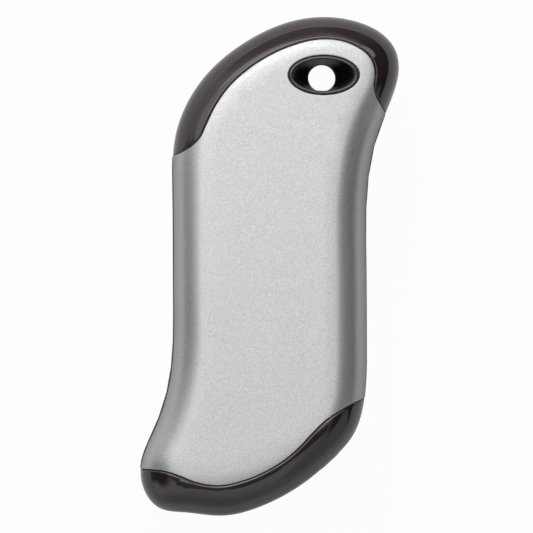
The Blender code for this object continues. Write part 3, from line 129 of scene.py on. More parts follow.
# Panels: the cosine past which an edge counts as straight, points compared in one go, and the
# scale and tolerance of the triangulation
NEARLY_STRAIGHT = 0.98
COMPARED_AT_ONCE = 500
FILL_SCALE = 1000
FILL_TOLERANCE = 1e-7

# Side rails: how far the right and left one stand out, and how far the left of a cover draws in
RAILS_PROUD = (0.00012, 0.00018)
TUCK = 0.0004
TUCK_HEIGHT = 0.004
TUCK_EASE = 0.002
RAIL_HEIGHT = 0.0027
RAIL_DEPTH = 0.0012
RAIL_ROUND = 0.0004
RAIL_STEP = 0.0003

# Sockets, lights and button: each one's middle as u and its height, as in the solids
USB_U, USB_Z = 0.72325, 0.013
MICRO_U, MICRO_Z = 0.78125, 0.0127
LIGHTS_U, LIGHTS_Z = 0.80767, 0.0124
BUTTON_U, BUTTON_Z = 0.83328, 0.0131
USB_SIZE = (0.0131, 0.0057)
MICRO_SIZE = (0.0075, 0.0026)
MICRO_FLOOR = 0.0056
BUTTON_SIZE = (0.007, 0.0044)
LIGHT_PITCH = 0.002
LIGHT_RADIUS = 0.0006
LIGHT_COUNT = 4
SHEET = 0.00035
USB_CORNER, MICRO_CORNER = 0.0006, 0.0003
USB_RECESS, USB_DEPTH = 0.0013, 0.014
MICRO_RECESS, MICRO_DEPTH = 0.001, 0.0056
BUTTON_CORNER = 0.0019
BUTTON_PROUD = 0.00012
BUTTON_ROUND = 0.00035
BUTTON_DISH = 0.00015
FLANGE_WIDTH = 0.0008
FLANGE_CLEARANCE = 0.0009
FLANGE_THICKNESS = 0.001
STEM_LENGTH = 0.0016
STEM_INSET = 0.0014
BUTTON_FACE_SHARES = (0.02, 0.3, 0.55, 0.75, 0.9)
SPOT_REACH = 0.012
SPOT_POINTS = 400
CORNER_STEPS = 6
LENS_COVER = 0.00004
LENS_START = 0.00005
LENS_DOME = 0.0002
LENS_DEPTH = 0.0006
LENS_FIRST_TURN = 0.1
LENS_ROWS = 6
LENS_POINTS = 24
LIGHT_HOLE_POINTS = 28

# The trims' lips under the shells, which start above the side band
LIP_START = 0.0005
LIP_EASE = 0.002
LEAST_LIP = 0.03

# Eyelet's profile
EYELET_RIM = 0.0008
RIM_STEPS = 13
FUNNEL_STEPS = 16
FUNNEL_POWER = 0.8
BORE_ROUND = 0.0003
SMOOTH_ANGLE = 40

# Stage
FLOOR_SIZE = 6.0
FLOOR_DROP = 0.0001
FLOOR_COLOUR = (0.28, 0.28, 0.28, 1.0)
FLOOR_ROUGHNESS = 0.9
FLOOR_GLOW = 0.97
FLOOR_MIRROR_GLOW = 0.25
VIEW_WIDTH = 0.14155
VIEW_DISTANCE = 0.7
VIEW_CLIP = (0.01, 10.0)
VIEW_CENTRE = (-0.00085, -0.00004)
SKY_LEVEL = 0.68
# Regions of the sky: azimuth and tilt of the middle, inner and outer radius, level
SKY = (
    (0, 0, 7, 31, 1.22), (270, 95, 10, 50, 0.4), (104, 80, 14, 32, 0.26), (62, 76, 18, 32, 0.14),
    (158, 82, 14, 28, 0.6), (188, 76, 14, 25, 0.1), (196, 48, 16, 32, 0.04),
    (7, 67, 40, 60, 0.03), (320, 70, 18, 26, 0.4), (113, 22, 9, 14, 4.1), (124, 38, 13, 19, 1.85),
    (151, 38, 11, 18, 1.15), (98, 30, 9, 13, 3.2), (72, 32, 8, 12, 2.0), (50, 40, 7, 11, 1.5),
    (262, 21, 5, 9, 1.6), (301, 27, 8, 10, 0.1), (284, 36, 7, 9, 0.14), (268, 37, 5, 7, 0.18),
    (253, 33, 4, 6, 0.18), (234, 26, 6, 8, 0.16))
# The key lamp, which lights the floor and matt surfaces: power, size, azimuth, tilt, distance
KEY = (27.0, 0.4, 101, 60, 1.2)


def closed_spline(points, corners):
    """A smooth closed curve through the points, read by the share u of the corners' chords."""
    count = len(points)
    steps = np.linalg.norm(np.roll(corners, -1, axis=0) - corners, axis=1)
    knots = np.concatenate(([0.0], np.cumsum(steps)))
    system = np.zeros((count, count))
    right = np.zeros((count, points.shape[1]))
    for i in range(count):
        before, after = steps[i - 1], steps[i]
        system[i, i - 1] += before
        system[i, i] += 2 * (before + after)
        system[i, (i + 1) % count] += after
        rise = (points[(i + 1) % count] - points[i]) / after
        right[i] = 6 * (rise - (points[i] - points[i - 1]) / before)
    return points, knots, steps, np.linalg.solve(system, right)


def read_spline(spline, u):
    points, knots, steps, bends = spline
    count = len(points)
    place = np.mod(u, 1.0) * knots[-1]
    i = np.clip(np.searchsorted(knots, place, side="right") - 1, 0, count - 1)
    j = (i + 1) % count
    step = steps[i][:, None]
    back = knots[i + 1][:, None] - place[:, None]
    ahead = place[:, None] - knots[i][:, None]
    curve = (bends[i] * back ** 3 + bends[j] * ahead ** 3) / (6 * step)
    curve += (points[i] / step - bends[i] * step / 6) * back
    curve += (points[j] / step - bends[j] * step / 6) * ahead
    return curve


def smooth_read(at, knots, values):
    """A smooth open curve through values at the knots."""
    slopes = np.gradient(values, knots)
    i = np.clip(np.searchsorted(knots, at, side="right") - 1, 0, len(knots) - 2)
    width = knots[i + 1] - knots[i]
    t = (at - knots[i]) / width
    start = (1 + 2 * t) * (1 - t) ** 2 * values[i] + t * (1 - t) ** 2 * width * slopes[i]
    end = t * t * (3 - 2 * t) * values[i + 1] + t * t * (t - 1) * width * slopes[i + 1]
    return start + end


def unit(vectors):
    return vectors / np.linalg.norm(vectors, axis=-1, keepdims=True)


def columns(*parts):
    return np.column_stack(parts)


def distances(points):
    """How far along a line each of its points lies."""
    return np.concatenate(([0.0], np.cumsum(np.linalg.norm(np.diff(points, axis=0), axis=1))))


def circle(count):
    return np.linspace(0, 2 * math.pi, count, endpoint=False)


def shoulder_share(up):
    """How far V is up the shoulder, from 0 to 1, and past 1 on the flat face."""
    return np.where(up > SHOULDER_LENGTH, 1 + (up - SHOULDER_LENGTH) / EDGE_ROUND,
                    up / SHOULDER_LENGTH)


class Skin:
    """The outer surface of the closed housing, read by U and V."""

    def __init__(self):
        corners = np.array(OUTLINE_SHARES)
        table = np.hstack((corners, np.array(INSET_SHARES)))
        self.spline = closed_spline(table, corners * np.array((WIDTH, LENGTH)))
        self.samples = np.linspace(0.0, 1.0, OUTLINE_SAMPLES)
        raw = read_spline(self.spline, self.samples)[:, :2]
        self.low = raw.min(axis=0)
        self.span = raw.max(axis=0) - self.low
        self.walk = distances(self.outline(self.samples))
        self.round = self.walk[-1]

    def outline(self, u):
        raw = read_spline(self.spline, u)[:, :2]
        return ((raw - self.low) / self.span - 0.5) * np.array((WIDTH, LENGTH))

    def inset(self, u):
        return read_spline(self.spline, u)[:, 2:] * EDGE_ROUND

    def place_of(self, way):
        """The share u of a way U round the outline."""
        return np.interp(np.mod(way, self.round), self.walk, self.samples)

    def way_of(self, u):
        return np.interp(np.mod(u, 1.0), self.samples, self.walk)

    def read(self, way, up):
        """Points and outward normals at places (U, V)."""
        way, up = np.asarray(way, float), np.asarray(up, float)
        u = self.place_of(way)
        side = np.where(up < -BAND, -1.0, 1.0)
        over = np.maximum(side * (up + BAND) - BAND, 0.0)
        s = shoulder_share(over)
        turn = np.clip(s, 0.0, 1.0) * math.pi / 2
        left = np.clip(np.cos(turn), 0.0, 1.0) ** (2 / SHOULDER_POWER)
        rise = np.sin(turn) ** (2 / SHOULDER_POWER)
        inwards = np.where(s > 1, s, 1 - left)[:, None]
        inset = self.inset(u)
        plan = self.outline(u) + inwards * inset
        ahead, behind = u + OUTLINE_NUDGE, u - OUTLINE_NUDGE
        along = self.outline(ahead) - self.outline(behind)
        along += inwards * (self.inset(ahead) - self.inset(behind))
        bend = SHOULDER_POWER - 1
        climb = (rise ** bend)[:, None] * inset
        lift = np.where(s > 1, 0.0, left ** bend * (HALF - BAND))
        normal = unit(np.stack((along[:, 1] * lift, -along[:, 0] * lift,
                                along[:, 0] * climb[:, 1] - along[:, 1] * climb[:, 0]), axis=1))
        on_band = (up <= 0) & (up >= -2 * BAND)
        height = np.where(on_band, up + BAND, side * (BAND + (HALF - BAND) * rise))
        normal[:, 2] *= side
        return columns(plan, HALF + height), normal

    def chart(self, way, up):
        """The front shoulder laid out flat in the plan, spread outwards from the flat face."""
        u = self.place_of(way)
        s = shoulder_share(up)
        left = np.clip(np.cos(np.clip(s, 0, 1) * math.pi / 2), 0.0, 1.0) ** (2 / SHOULDER_POWER)
        share = np.where(s > 1, s, 1 - left - CHART_SPREAD * (1 - s))
        return self.outline(u) + share[:, None] * self.inset(u)


class CoverSkin(Skin):
    """The same skin, drawn in a little along the left side's lower edge, between two places U."""

    def __init__(self, start, end):
        super().__init__()
        self.tucked = start, end

    def read(self, way, up):
        points, normals = super().read(way, up)
        start, end = self.tucked
        ease = np.clip(np.minimum(way - start, end - way) / TUCK_EASE, 0.0, 1.0)
        share = ease * np.clip(1 - up / TUCK_HEIGHT, 0.0, 1.0) ** 2
        level = np.linalg.norm(normals[:, :2], axis=1, keepdims=True)
        points[:, :2] -= TUCK * share[:, None] * normals[:, :2] / np.maximum(level, LEAST_LEVEL)
        return points, normals


def height_of(share):
    """V of a point in plan that lies the given share of the inset in from the outline."""
    left = np.clip(1 - share, 0.0, 1.0) ** (SHOULDER_POWER / 2)
    up = np.arccos(np.clip(left, 0.0, 1.0)) / (math.pi / 2) * SHOULDER_LENGTH
    return np.where(share > 1, SHOULDER_LENGTH + (share - 1) * EDGE_ROUND, up)


def up_of(height):
    """V of a height above or below the middle plane, near the side band."""
    away = abs(height) - BAND
    if away <= 0:
        return height - BAND
    rise = away / (HALF - BAND)
    up = math.asin(rise ** (SHOULDER_POWER / 2)) / (math.pi / 2) * SHOULDER_LENGTH
    return up if height > 0 else -2 * BAND - up


def even(skin, line, step):
    """A line of places (U, V) with its points spread evenly along the surface."""
    points, _ = skin.read(line[:, 0], line[:, 1])
    walk = distances(points)
    at = np.linspace(0.0, walk[-1], int(walk[-1] / step) + 2)
    return np.column_stack([np.interp(at, walk, line[:, k]) for k in range(2)])


def split_line(skin, shares):
    """A split line as places (U, V), from silhouette to silhouette, along the outline."""
    corners = np.array(shares) * np.array((WIDTH, LENGTH))
    hops = distances(corners)
    walk = hops[-1] * (0.5 - 0.5 * np.cos(np.linspace(0, math.pi, SPLIT_POINTS)))
    line = np.stack([smooth_read(walk, hops, corners[:, k]) for k in range(2)], axis=1)
    reach = np.linspace(1.0, 0.0, RUN_OUT_POINTS)[:-1, None] ** 2 * RUN_OUT
    start = line[0] + reach * unit(line[0] - line[SPLIT_END_HOPS])
    end = line[-1] + reach[::-1] * unit(line[-1] - line[-1 - SPLIT_END_HOPS])
    line = np.concatenate((start, line, end))
    ring = skin.samples[:-1:RING_STRIDE]
    plan, inset = skin.outline(ring), skin.inset(ring)
    size = np.sum(inset * inset, axis=1)
    u, share = np.empty(len(line)), np.empty(len(line))
    for k, point in enumerate(line):
        away = point - plan
        near = np.clip(np.sum(away * inset, axis=1) / size, *SHARE_RANGE)
        best = int(np.argmin(np.linalg.norm(away - near[:, None] * inset, axis=1)))
        u[k], share[k] = ring[best], near[best]
    for _ in range(FIT_ROUNDS):
        inset = skin.inset(u)
        miss = skin.outline(u) + share[:, None] * inset - line
        ahead, behind = (skin.outline(v) + share[:, None] * skin.inset(v)
                         for v in (u + FIT_NUDGE, u - FIT_NUDGE))
        slope = (ahead - behind) / (2 * FIT_NUDGE)
        area = slope[:, 0] * inset[:, 1] - slope[:, 1] * inset[:, 0]
        u -= (miss[:, 0] * inset[:, 1] - miss[:, 1] * inset[:, 0]) / area
        share -= (slope[:, 0] * miss[:, 1] - slope[:, 1] * miss[:, 0]) / area
    first, last = np.flatnonzero(share > 0)[[0, -1]]
    places = [(np.interp(0.0, share[first - 1:first + 1], u[first - 1:first + 1]), 0.0)]
    places += list(zip(u[first:last + 1], share[first:last + 1]))
    places.append((np.interp(0.0, share[last + 1:last - 1:-1], u[last + 1:last - 1:-1]), 0.0))
    places = np.array(places)
    line = columns(skin.way_of(places[:, 0]), height_of(places[:, 1]))
    return even(skin, line, EDGE_STEP)


def mitre(before, after, reach_before, reach_after):
    """How far a corner moves when the edges on its two sides move inwards by their reaches."""
    cosine = np.sum(before * after, axis=1)
    straight = cosine > NEARLY_STRAIGHT
    safe = np.where(straight, 0.0, cosine)
    room = 1 - safe * safe
    sharp = ((reach_before - safe * reach_after) / room)[:, None] * before
    sharp += ((reach_after - safe * reach_before) / room)[:, None] * after
    soft = unit(before + after) * ((reach_before + reach_after) / 2)[:, None]
    return np.where(straight[:, None], soft, sharp)


def edge_frames(surface, loop):
    """Points and normals of a loop, and each edge's direction into the piece on its left."""
    points, normals = surface.read(loop[:, 0], loop[:, 1])
    ahead = unit(np.roll(points, -1, axis=0) - points)
    middle = unit(normals + np.roll(normals, -1, axis=0))
    after = unit(np.cross(middle, ahead))
    before = np.roll(after, 1, axis=0)
    flat = [unit(e - np.sum(e * normals, axis=1)[:, None] * normals) for e in (before, after)]
    return points, normals, flat[0], flat[1]


def move_loop(surface, loop, reach):
    """A loop moved to its left by reach, one length for each of its edges."""
    reach = np.broadcast_to(reach, len(loop)).astype(float)
    _, _, before, after = edge_frames(surface, loop)
    shift = mitre(before, after, np.roll(reach, 1), reach)
    h = SLOPE_STEP
    slopes = []
    for du, dv in ((h, 0.0), (0.0, h)):
        high, _ = surface.read(loop[:, 0] + du, loop[:, 1] + dv)
        low, _ = surface.read(loop[:, 0] - du, loop[:, 1] - dv)
        slopes.append((high - low) / (2 * h))
    a, b = slopes
    aa, ab, bb = (np.sum(x * y, axis=1) for x, y in ((a, a), (a, b), (b, b)))
    ra, rb = np.sum(a * shift, axis=1), np.sum(b * shift, axis=1)
    area = aa * bb - ab * ab
    return loop + columns((ra * bb - rb * ab) / area, (rb * aa - ra * ab) / area)


def inside(points, ring):
    """Whether each point lies inside a closed ring of points."""
    x, y = points[:, 0], points[:, 1]
    odd = np.zeros(len(points), bool)
    for (x0, y0), (x1, y1) in zip(ring, np.roll(ring, -1, axis=0)):
        if y0 != y1:
            odd ^= ((y0 > y) != (y1 > y)) & (x < (x1 - x0) * (y - y0) / (y1 - y0) + x0)
    return odd


def clear_of(points, rings, distance):
    """Whether each point keeps a distance from the points of all the rings."""
    marks = np.concatenate(rings)
    clear = np.ones(len(points), bool)
    for k in range(0, len(points), COMPARED_AT_ONCE):
        some = slice(k, k + COMPARED_AT_ONCE)
        hops = points[some, None] - marks[None]
        clear[some] = np.min(np.sum(hops * hops, axis=2), axis=1) > distance ** 2
    return clear


class FlatTop:
    """The flat front face, read by its plan."""

    @staticmethod
    def read(x, y):
        level = np.full(len(x), 2 * HALF)
        return columns(x, y, level), np.tile((0.0, 0.0, 1.0), (len(x), 1))


class Loop:
    """One edge of a panel: its places on a surface, its rounding and the rows that follow it."""

    def __init__(self, surface, places, radius, rows):
        self.surface, self.places, self.rows = surface, places, rows
        self.radius = np.broadcast_to(radius, len(places)).astype(float)


def fill(flat, edges):
    """Triangles between edges that have the piece on their left, through all the points."""
    made = geometry.delaunay_2d_cdt([Vector(p) for p in flat * FILL_SCALE], edges, [], 1,
                                    FILL_TOLERANCE)
    source = [origins[0] if origins else -1 for origins in made[3]]
    triangles = [[source[v] for v in face] for face in made[2]]
    if any(min(face) < 0 for face in triangles):
        raise RuntimeError("two edges cross")
    sides = {}
    for k, face in enumerate(triangles):
        for i in range(3):
            sides[face[i], face[(i + 1) % 3]] = k
    walls = set(edges) | {(b, a) for a, b in edges}
    outside, reached = set(), [sides[b, a] for a, b in edges if (b, a) in sides]
    while reached:
        k = reached.pop()
        if k not in outside:
            outside.add(k)
            face = triangles[k]
            for a, b in zip(face, face[1:] + face[:1]):
                if (a, b) not in walls and (b, a) in sides:
                    reached.append(sides[b, a])
    return [face for k, face in enumerate(triangles) if k not in outside]


def ring_faces(last, row):
    """The faces between two rows of a closed edge."""
    size = len(row)
    return [[last[(i + 1) % size], last[i], row[i], row[(i + 1) % size]] for i in range(size)]


def panel(name, loops, charts, extra, depth, mirrored=False):
    """A sheet of the skin between its loops, with rounded edges, walls and its inside at depth.

    extra holds points inside it: their chart places, points and normals. Each loop's rows are
    (reach outwards, depth, normal along the skin's normal, normal outwards).
    """
    flat, points, normals, strips, edges = [], [], [], [], []
    count = 0
    for loop, chart in zip(loops, charts):
        inner = move_loop(loop.surface, loop.places, loop.radius)
        at, normal, before, after = edge_frames(loop.surface, inner)
        ones = np.ones(len(inner))
        out = -mitre(before, after, ones, ones)
        radius = loop.radius[:, None]
        rows = []
        for k in range(1, ROUND_STEPS + 1):
            turn = math.pi / 2 * k / ROUND_STEPS
            rows.append((at + out * radius * math.sin(turn)
                         - normal * radius * (1 - math.cos(turn)),
                         unit(normal * math.cos(turn) + unit(out) * math.sin(turn))))
        for reach, down, along, outwards in loop.rows:
            rows.append((at + out * (loop.radius + reach)[:, None] - normal * down,
                         unit(normal * along + unit(out) * outwards)))
        strips.append((count, len(inner), rows))
        flat.append(chart(inner[:, 0], inner[:, 1]))
        edges += [(count + i, count + (i + 1) % len(inner)) for i in range(len(inner))]
        points.append(at)
        normals.append(normal)
        count += len(inner)
    rings = list(flat)
    keep = inside(extra[0], rings[0]) & clear_of(extra[0], rings, CLEAR_OF_EDGE)
    for ring in rings[1:]:
        keep &= ~inside(extra[0], ring)
    flat.append(extra[0][keep])
    points.append(extra[1][keep])
    normals.append(extra[2][keep])
    flat, points, normals = (np.concatenate(part) for part in (flat, points, normals))
    triangles = fill(flat, edges)

    total = len(points)
    verts = [points, points - normals * depth]
    shade = [normals, -normals]
    faces = list(triangles) + [[v + total for v in face[::-1]] for face in triangles]
    base = 2 * total
    for start, size, rows in strips:
        last = [start + i for i in range(size)]
        for at, normal in rows:
            verts.append(at)
            shade.append(normal)
            row = [base + i for i in range(size)]
            faces += ring_faces(last, row)
            last = row
            base += size
        faces += ring_faces(last, [total + start + i for i in range(size)])
    verts, shade = np.concatenate(verts), np.concatenate(shade)
    if mirrored:
        verts = verts * (1, 1, -1) + (0, 0, 2 * HALF)
        shade = shade * (1, 1, -1)
        faces = [face[::-1] for face in faces]
    return mesh_piece(name, verts, faces, shade)


def mesh_piece(name, verts, faces, shade):
    mesh = bpy.data.meshes.new(name)
    mesh.from_pydata([tuple(v) for v in verts], [], faces)
    mesh.shade_smooth()
    mesh.normals_split_custom_set_from_vertices([tuple(n) for n in shade])
    return add_item(name, mesh)


def add_item(name, data):
    item = bpy.data.objects.new(name, data)
    bpy.context.scene.collection.objects.link(item)
    return item


def grid_places(start, end, low, high):
    """Places spread over a stretch of the skin, U from start to end and V from low to high."""
    ways = np.arange(start, end, SKIN_STEP)
    ups = np.arange(low, high, SKIN_STEP)
    way, up = (part.ravel() for part in np.meshgrid(ways, ups))
    return way, up


# Housing pieces

def side_ways(skin, top, bottom):
    """Where the two sides run between the trims' ends, as pairs of U."""
    return ((bottom[-1, 0] - skin.round, top[0, 0]), (top[-1, 0], bottom[0, 0]))


def make_shells(skin, top, bottom, coats):
    skin = CoverSkin(*side_ways(skin, top, bottom)[1])
    sides = []
    for start, end in side_ways(skin, top, bottom):
        ways = np.arange(start, end, EDGE_STEP * 2)[1:-1]
        sides.append(columns(ways, np.zeros(len(ways))))
    parts = ((sides[0], 0.0), (top, SEAM / 2), (sides[1], 0.0), (bottom, SEAM / 2))
    edge = np.concatenate([part for part, _ in parts])
    reach = np.concatenate([np.full(len(part), size) for part, size in parts])
    reach[len(sides[0]) + len(top) - 1] = reach[-1] = 0.0
    edge = move_loop(skin, edge, reach)

    way, up = grid_places(0.0, skin.round, SKIN_STEP / 2, SHOULDER_LENGTH)
    points, normals = skin.read(way, up)
    marks = skin.walk[:-1:CROWN_STRIDE]
    crown = skin.chart(marks, np.full(len(marks), SHOULDER_LENGTH))
    xs, ys = np.meshgrid(np.arange(-WIDTH / 2, WIDTH / 2, CROWN_STEP),
                         np.arange(-LENGTH / 2, LENGTH / 2, CROWN_STEP))
    plan = columns(xs.ravel(), ys.ravel())
    plan = plan[inside(plan, crown) & clear_of(plan, [crown], SKIN_STEP)]
    level, straight_up = FlatTop.read(plan[:, 0], plan[:, 1])
    extra = (np.concatenate((skin.chart(way, up), plan)), np.concatenate((points, level)),
             np.concatenate((normals, straight_up)))
    rows = ((0.0, SHELL_WALL - EDGE_RADIUS / 2, 0.0, 1.0),)
    loops = [Loop(skin, edge, EDGE_RADIUS, rows),
             Loop(FlatTop, eyelet_loop(), EYELET_EDGE_RADIUS, rows)]
    charts = (skin.chart, columns)
    for name, node, mirrored in (("front_cover", "front_shell", False),
                                 ("back_cover", "back_shell", True)):
        piece = panel(name, loops, charts, extra, SHELL_WALL, mirrored)
        dress(piece, coats["silver_paint"], node)


def eyelet_loop():
    """The hole round the eyelet in plan, with the shell on its left."""
    size = [length / 2 + SEAM for length in EYELET_OUTER]
    turns = -circle(EYELET_SEGMENTS)
    return columns(EYELET_CENTRE[0] + size[0] * np.cos(turns),
                   EYELET_CENTRE[1] + size[1] * np.sin(turns))


def make_trim(name, node, skin, line, holes, coats):
    """A cover that wraps one end, with a lip under each shell and its openings."""
    back = columns(line[:, 0], -2 * BAND - line[:, 1])
    band = np.linspace(-2 * BAND, 0.0, int(2 * BAND / EDGE_STEP) + 2)[1:-1]
    end = columns(np.full(len(band), line[-1, 0]), band)
    start = columns(np.full(len(band), line[0, 0]), band[::-1])
    edge = move_loop(skin, np.concatenate((back, end, line[::-1], start)), SEAM / 2)
    over = np.maximum(edge[:, 1], -2 * BAND - edge[:, 1])
    lip = np.clip((over - LIP_START) / LIP_EASE, LEAST_LIP, 1.0) * LIP_REACH
    under = SHELL_WALL + GAP
    rows = ((0.0, under, 0.0, 1.0), (lip, under, 1.0, 0.0), (lip, CAP_WALL, 0.0, 1.0))
    soft = np.clip(over / BAND_EDGE_EASE, 0.0, 1.0) * (TRIM_EDGE_RADIUS - BAND_EDGE_RADIUS)
    loops = [Loop(skin, edge, BAND_EDGE_RADIUS + soft, rows)]
    for places, radius in holes:
        loops.append(Loop(skin, places, radius, ((0.0, CAP_WALL - radius / 2, 0.0, 1.0),)))
    charts = [columns] * len(loops)
    high = line[:, 1].max()
    way, up = grid_places(line[0, 0], line[-1, 0], -2 * BAND - high, high)
    points, normals = skin.read(way, up)
    extra = (columns(way, up), points, normals)
    piece = panel(name, loops, charts, extra, CAP_WALL)
    dress(piece, coats["gloss_black"], node)


def make_rails(skin, top, bottom, coats):
    """The rails of the inner frame, which part the two shells along both sides."""
    high = RAIL_HEIGHT / 2 - RAIL_ROUND
    section = [(-RAIL_DEPTH, -RAIL_HEIGHT / 2)]
    for middle, first in ((-high, -math.pi / 2), (high, 0.0)):
        for step in range(ROUND_STEPS + 1):
            turn = first + math.pi / 2 * step / ROUND_STEPS
            section.append((RAIL_ROUND * (math.cos(turn) - 1),
                            middle + RAIL_ROUND * math.sin(turn)))
    section.append((-RAIL_DEPTH, RAIL_HEIGHT / 2))
    for name, proud, (start, end) in zip(("side_rail_right", "side_rail_left"), RAILS_PROUD,
                                         side_ways(skin, top, bottom)):
        ways = np.linspace(start, end, int((end - start) / RAIL_STEP) + 1)
        points, normals = skin.read(ways, np.full(len(ways), -BAND))
        rings = [[point + normal * (proud + a) + np.array((0.0, 0.0, b)) for a, b in section]
                 for point, normal in zip(points, normals)]
        piece = loft(name, rings)
        dress(piece, coats["frame_black"])


def loft(name, rings, closed=False):
    """A solid through rings of points; closed joins the last ring to the first."""
    net = bmesh.new()
    grid = [[net.verts.new(tuple(point)) for point in ring] for ring in rings]
    pairs = list(zip(grid[:-1], grid[1:]))
    if closed:
        pairs.append((grid[-1], grid[0]))
    for low, high in pairs:
        for i in range(len(low)):
            j = (i + 1) % len(low)
            net.faces.new((low[i], low[j], high[j], high[i]))
    if not closed:
        net.faces.new(grid[0])
        net.faces.new(grid[-1])
    bmesh.ops.recalc_face_normals(net, faces=net.faces)
    if net.calc_volume(signed=True) < 0:
        bmesh.ops.reverse_faces(net, faces=net.faces)
    mesh = bpy.data.meshes.new(name)
    net.to_mesh(mesh)
    net.free()
    mesh.shade_smooth()
    mesh.set_sharp_from_angle(angle=math.radians(SMOOTH_ANGLE))
    return add_item(name, mesh)


def make_eyelet(coats):
    """The barrel: a glossy rim and a steep funnel at each mouth, and a round bore, with painted
    shade: the funnels and bore take a darker, duller copy of the black.
    """
    front = [(size, 2 * HALF + EYELET_PROUD - drop)
             for size, drop in mouth_profile(np.array(EYELET_MOUTH))]
    back = mouth_profile(np.array(EYELET_BACK_MOUTH))
    turns = circle(EYELET_SEGMENTS)
    narrowing = EYELET_OUTER[0] - EYELET_BORE
    rings = [columns(EYELET_CENTRE[0] + size[0] / 2 * np.cos(turns)
                     + BORE_SHIFT * (EYELET_OUTER[0] - size[0]) / narrowing,
                     EYELET_CENTRE[1] + size[1] / 2 * np.sin(turns),
                     np.full(EYELET_SEGMENTS, height))
             for size, height in front + back[::-1]]
    piece = loft("eyelet_barrel", rings, closed=True)
    dress(piece, coats["eyelet_black"], "lanyard_eyelet")
    # The funnels and bore get a darker copy of the eyelet's black with almost no reflection:
    # painted shade in the recess.
    piece.data.materials.append(coats["funnel_black"])
    for face in piece.data.polygons:
        if EYELET_RIM < face.center.z < 2 * HALF + EYELET_PROUD - EYELET_RIM:
            face.material_index = 1


def mouth_profile(mouth):
    """One half of the barrel's section: the size of its oval at each depth from its rim."""
    outer, bore = np.array(EYELET_OUTER), np.array((EYELET_BORE, EYELET_BORE))
    profile = []
    for turn in np.linspace(0.0, math.pi, RIM_STEPS):
        way = (1 - math.cos(turn)) / 2
        profile.append((outer + (mouth - outer) * way, EYELET_RIM * (1 - math.sin(turn))))
    for way in np.linspace(0.0, 1.0, FUNNEL_STEPS)[1:-1]:
        drop = EYELET_RIM + (EYELET_FUNNEL - EYELET_RIM) * way ** FUNNEL_POWER
        profile.append((mouth + (bore - mouth) * way, drop))
    for turn in np.linspace(0.0, math.pi / 2, ROUND_STEPS)[1:]:
        size = bore + 2 * BORE_ROUND * (1 - math.sin(turn))
        profile.append((size, EYELET_FUNNEL + BORE_ROUND * (1 - math.cos(turn))))
    return profile


# Sockets, lights and button

class Spot:
    """A place on the lower edge, with its own X along the edge and its own Y inwards."""

    def __init__(self, skin, u, height, inward=None):
        self.skin, self.way, self.height = skin, float(skin.way_of(u)), height
        point, normal = skin.read([self.way], [-BAND])
        self.edge = point[0, :2]
        self.inward = np.array(inward) if inward else -normal[0, :2]
        self.across = np.array((self.inward[1], -self.inward[0]))

    def point(self, x, y, z):
        plan = self.edge + self.across * x + self.inward * y
        return plan[0], plan[1], self.height + z

    def hole(self, section):
        """Places (U, V) of a closed section in X and Z, with the skin on its left."""
        ways = self.way + np.linspace(-SPOT_REACH, SPOT_REACH, SPOT_POINTS)
        points, _ = self.skin.read(ways, np.full(len(ways), -BAND))
        x = (points[:, :2] - self.edge) @ self.across
        places = [(np.interp(a, x, ways), up_of(self.height + b - HALF)) for a, b in section]
        return np.array(places[::-1])


def rounded(corners, radius):
    """A closed outline through corners, each drawn as a round of the given radius."""
    outline = []
    count = len(corners)
    for k in range(count):
        here = np.array(corners[k])
        back = unit(np.array(corners[k - 1]) - here)
        ahead = unit(np.array(corners[(k + 1) % count]) - here)
        half = math.acos(np.clip(back @ ahead, -1, 1)) / 2
        reach = radius / math.tan(half)
        middle = here + unit(back + ahead) * radius / math.sin(half)
        first, last = here + back * reach - middle, here + ahead * reach - middle
        sweep = math.atan2(first[0] * last[1] - first[1] * last[0], first @ last)
        for step in range(CORNER_STEPS + 1):
            turn = sweep * step / CORNER_STEPS
            outline.append(middle + (first[0] * math.cos(turn) - first[1] * math.sin(turn),
                                     first[0] * math.sin(turn) + first[1] * math.cos(turn)))
    return outline


def densified(outline, step):
    """The same closed outline with points at most a step apart."""
    points = []
    for here, there in zip(outline, outline[1:] + outline[:1]):
        pieces = max(1, int(np.linalg.norm(there - here) / step))
        points += [here + (there - here) * k / pieces for k in range(pieces)]
    return points


def box_section(width, height, extra=0.0):
    x, z = width / 2 + extra, height / 2 + extra
    return ((-x, -z), (x, -z), (x, z), (-x, z))


def micro_section(extra=0.0):
    top, floor, high = (size / 2 + extra for size in (MICRO_SIZE[0], MICRO_FLOOR, MICRO_SIZE[1]))
    return ((-floor, -high), (floor, -high), (top, 0.0), (top, high), (-top, high), (-top, 0.0))


def light_x(number):
    return (number - (LIGHT_COUNT - 1) / 2) * LIGHT_PITCH


def cap_holes(spots):
    """The bottom cap's openings with the radius of each one's edge."""
    def ready(section, corner):
        return densified(rounded(section, corner), EDGE_STEP)

    holes = [(spots["usb"].hole(ready(box_section(*USB_SIZE, GAP), USB_CORNER)), PORT_RADIUS),
             (spots["micro"].hole(ready(micro_section(GAP), MICRO_CORNER)), PORT_RADIUS),
             (spots["button"].hole(ready(box_section(*BUTTON_SIZE, GAP), BUTTON_CORNER + GAP)),
              PORT_RADIUS)]
    radius = LIGHT_RADIUS + GAP / 2
    turns = circle(LIGHT_HOLE_POINTS)
    for number in range(LIGHT_COUNT):
        ring = [(light_x(number) + radius * math.cos(t), radius * math.sin(t)) for t in turns]
        holes.append((spots["lights"].hole(ring), LIGHT_EDGE_RADIUS))
    return holes


def scaled(section, inset):
    """A closed section drawn in by inset on every side, about its middle."""
    section = np.array(section)
    low, high = section.min(axis=0), section.max(axis=0)
    middle = (low + high) / 2
    return middle + (section - middle) * (1 - 2 * inset / (high - low))


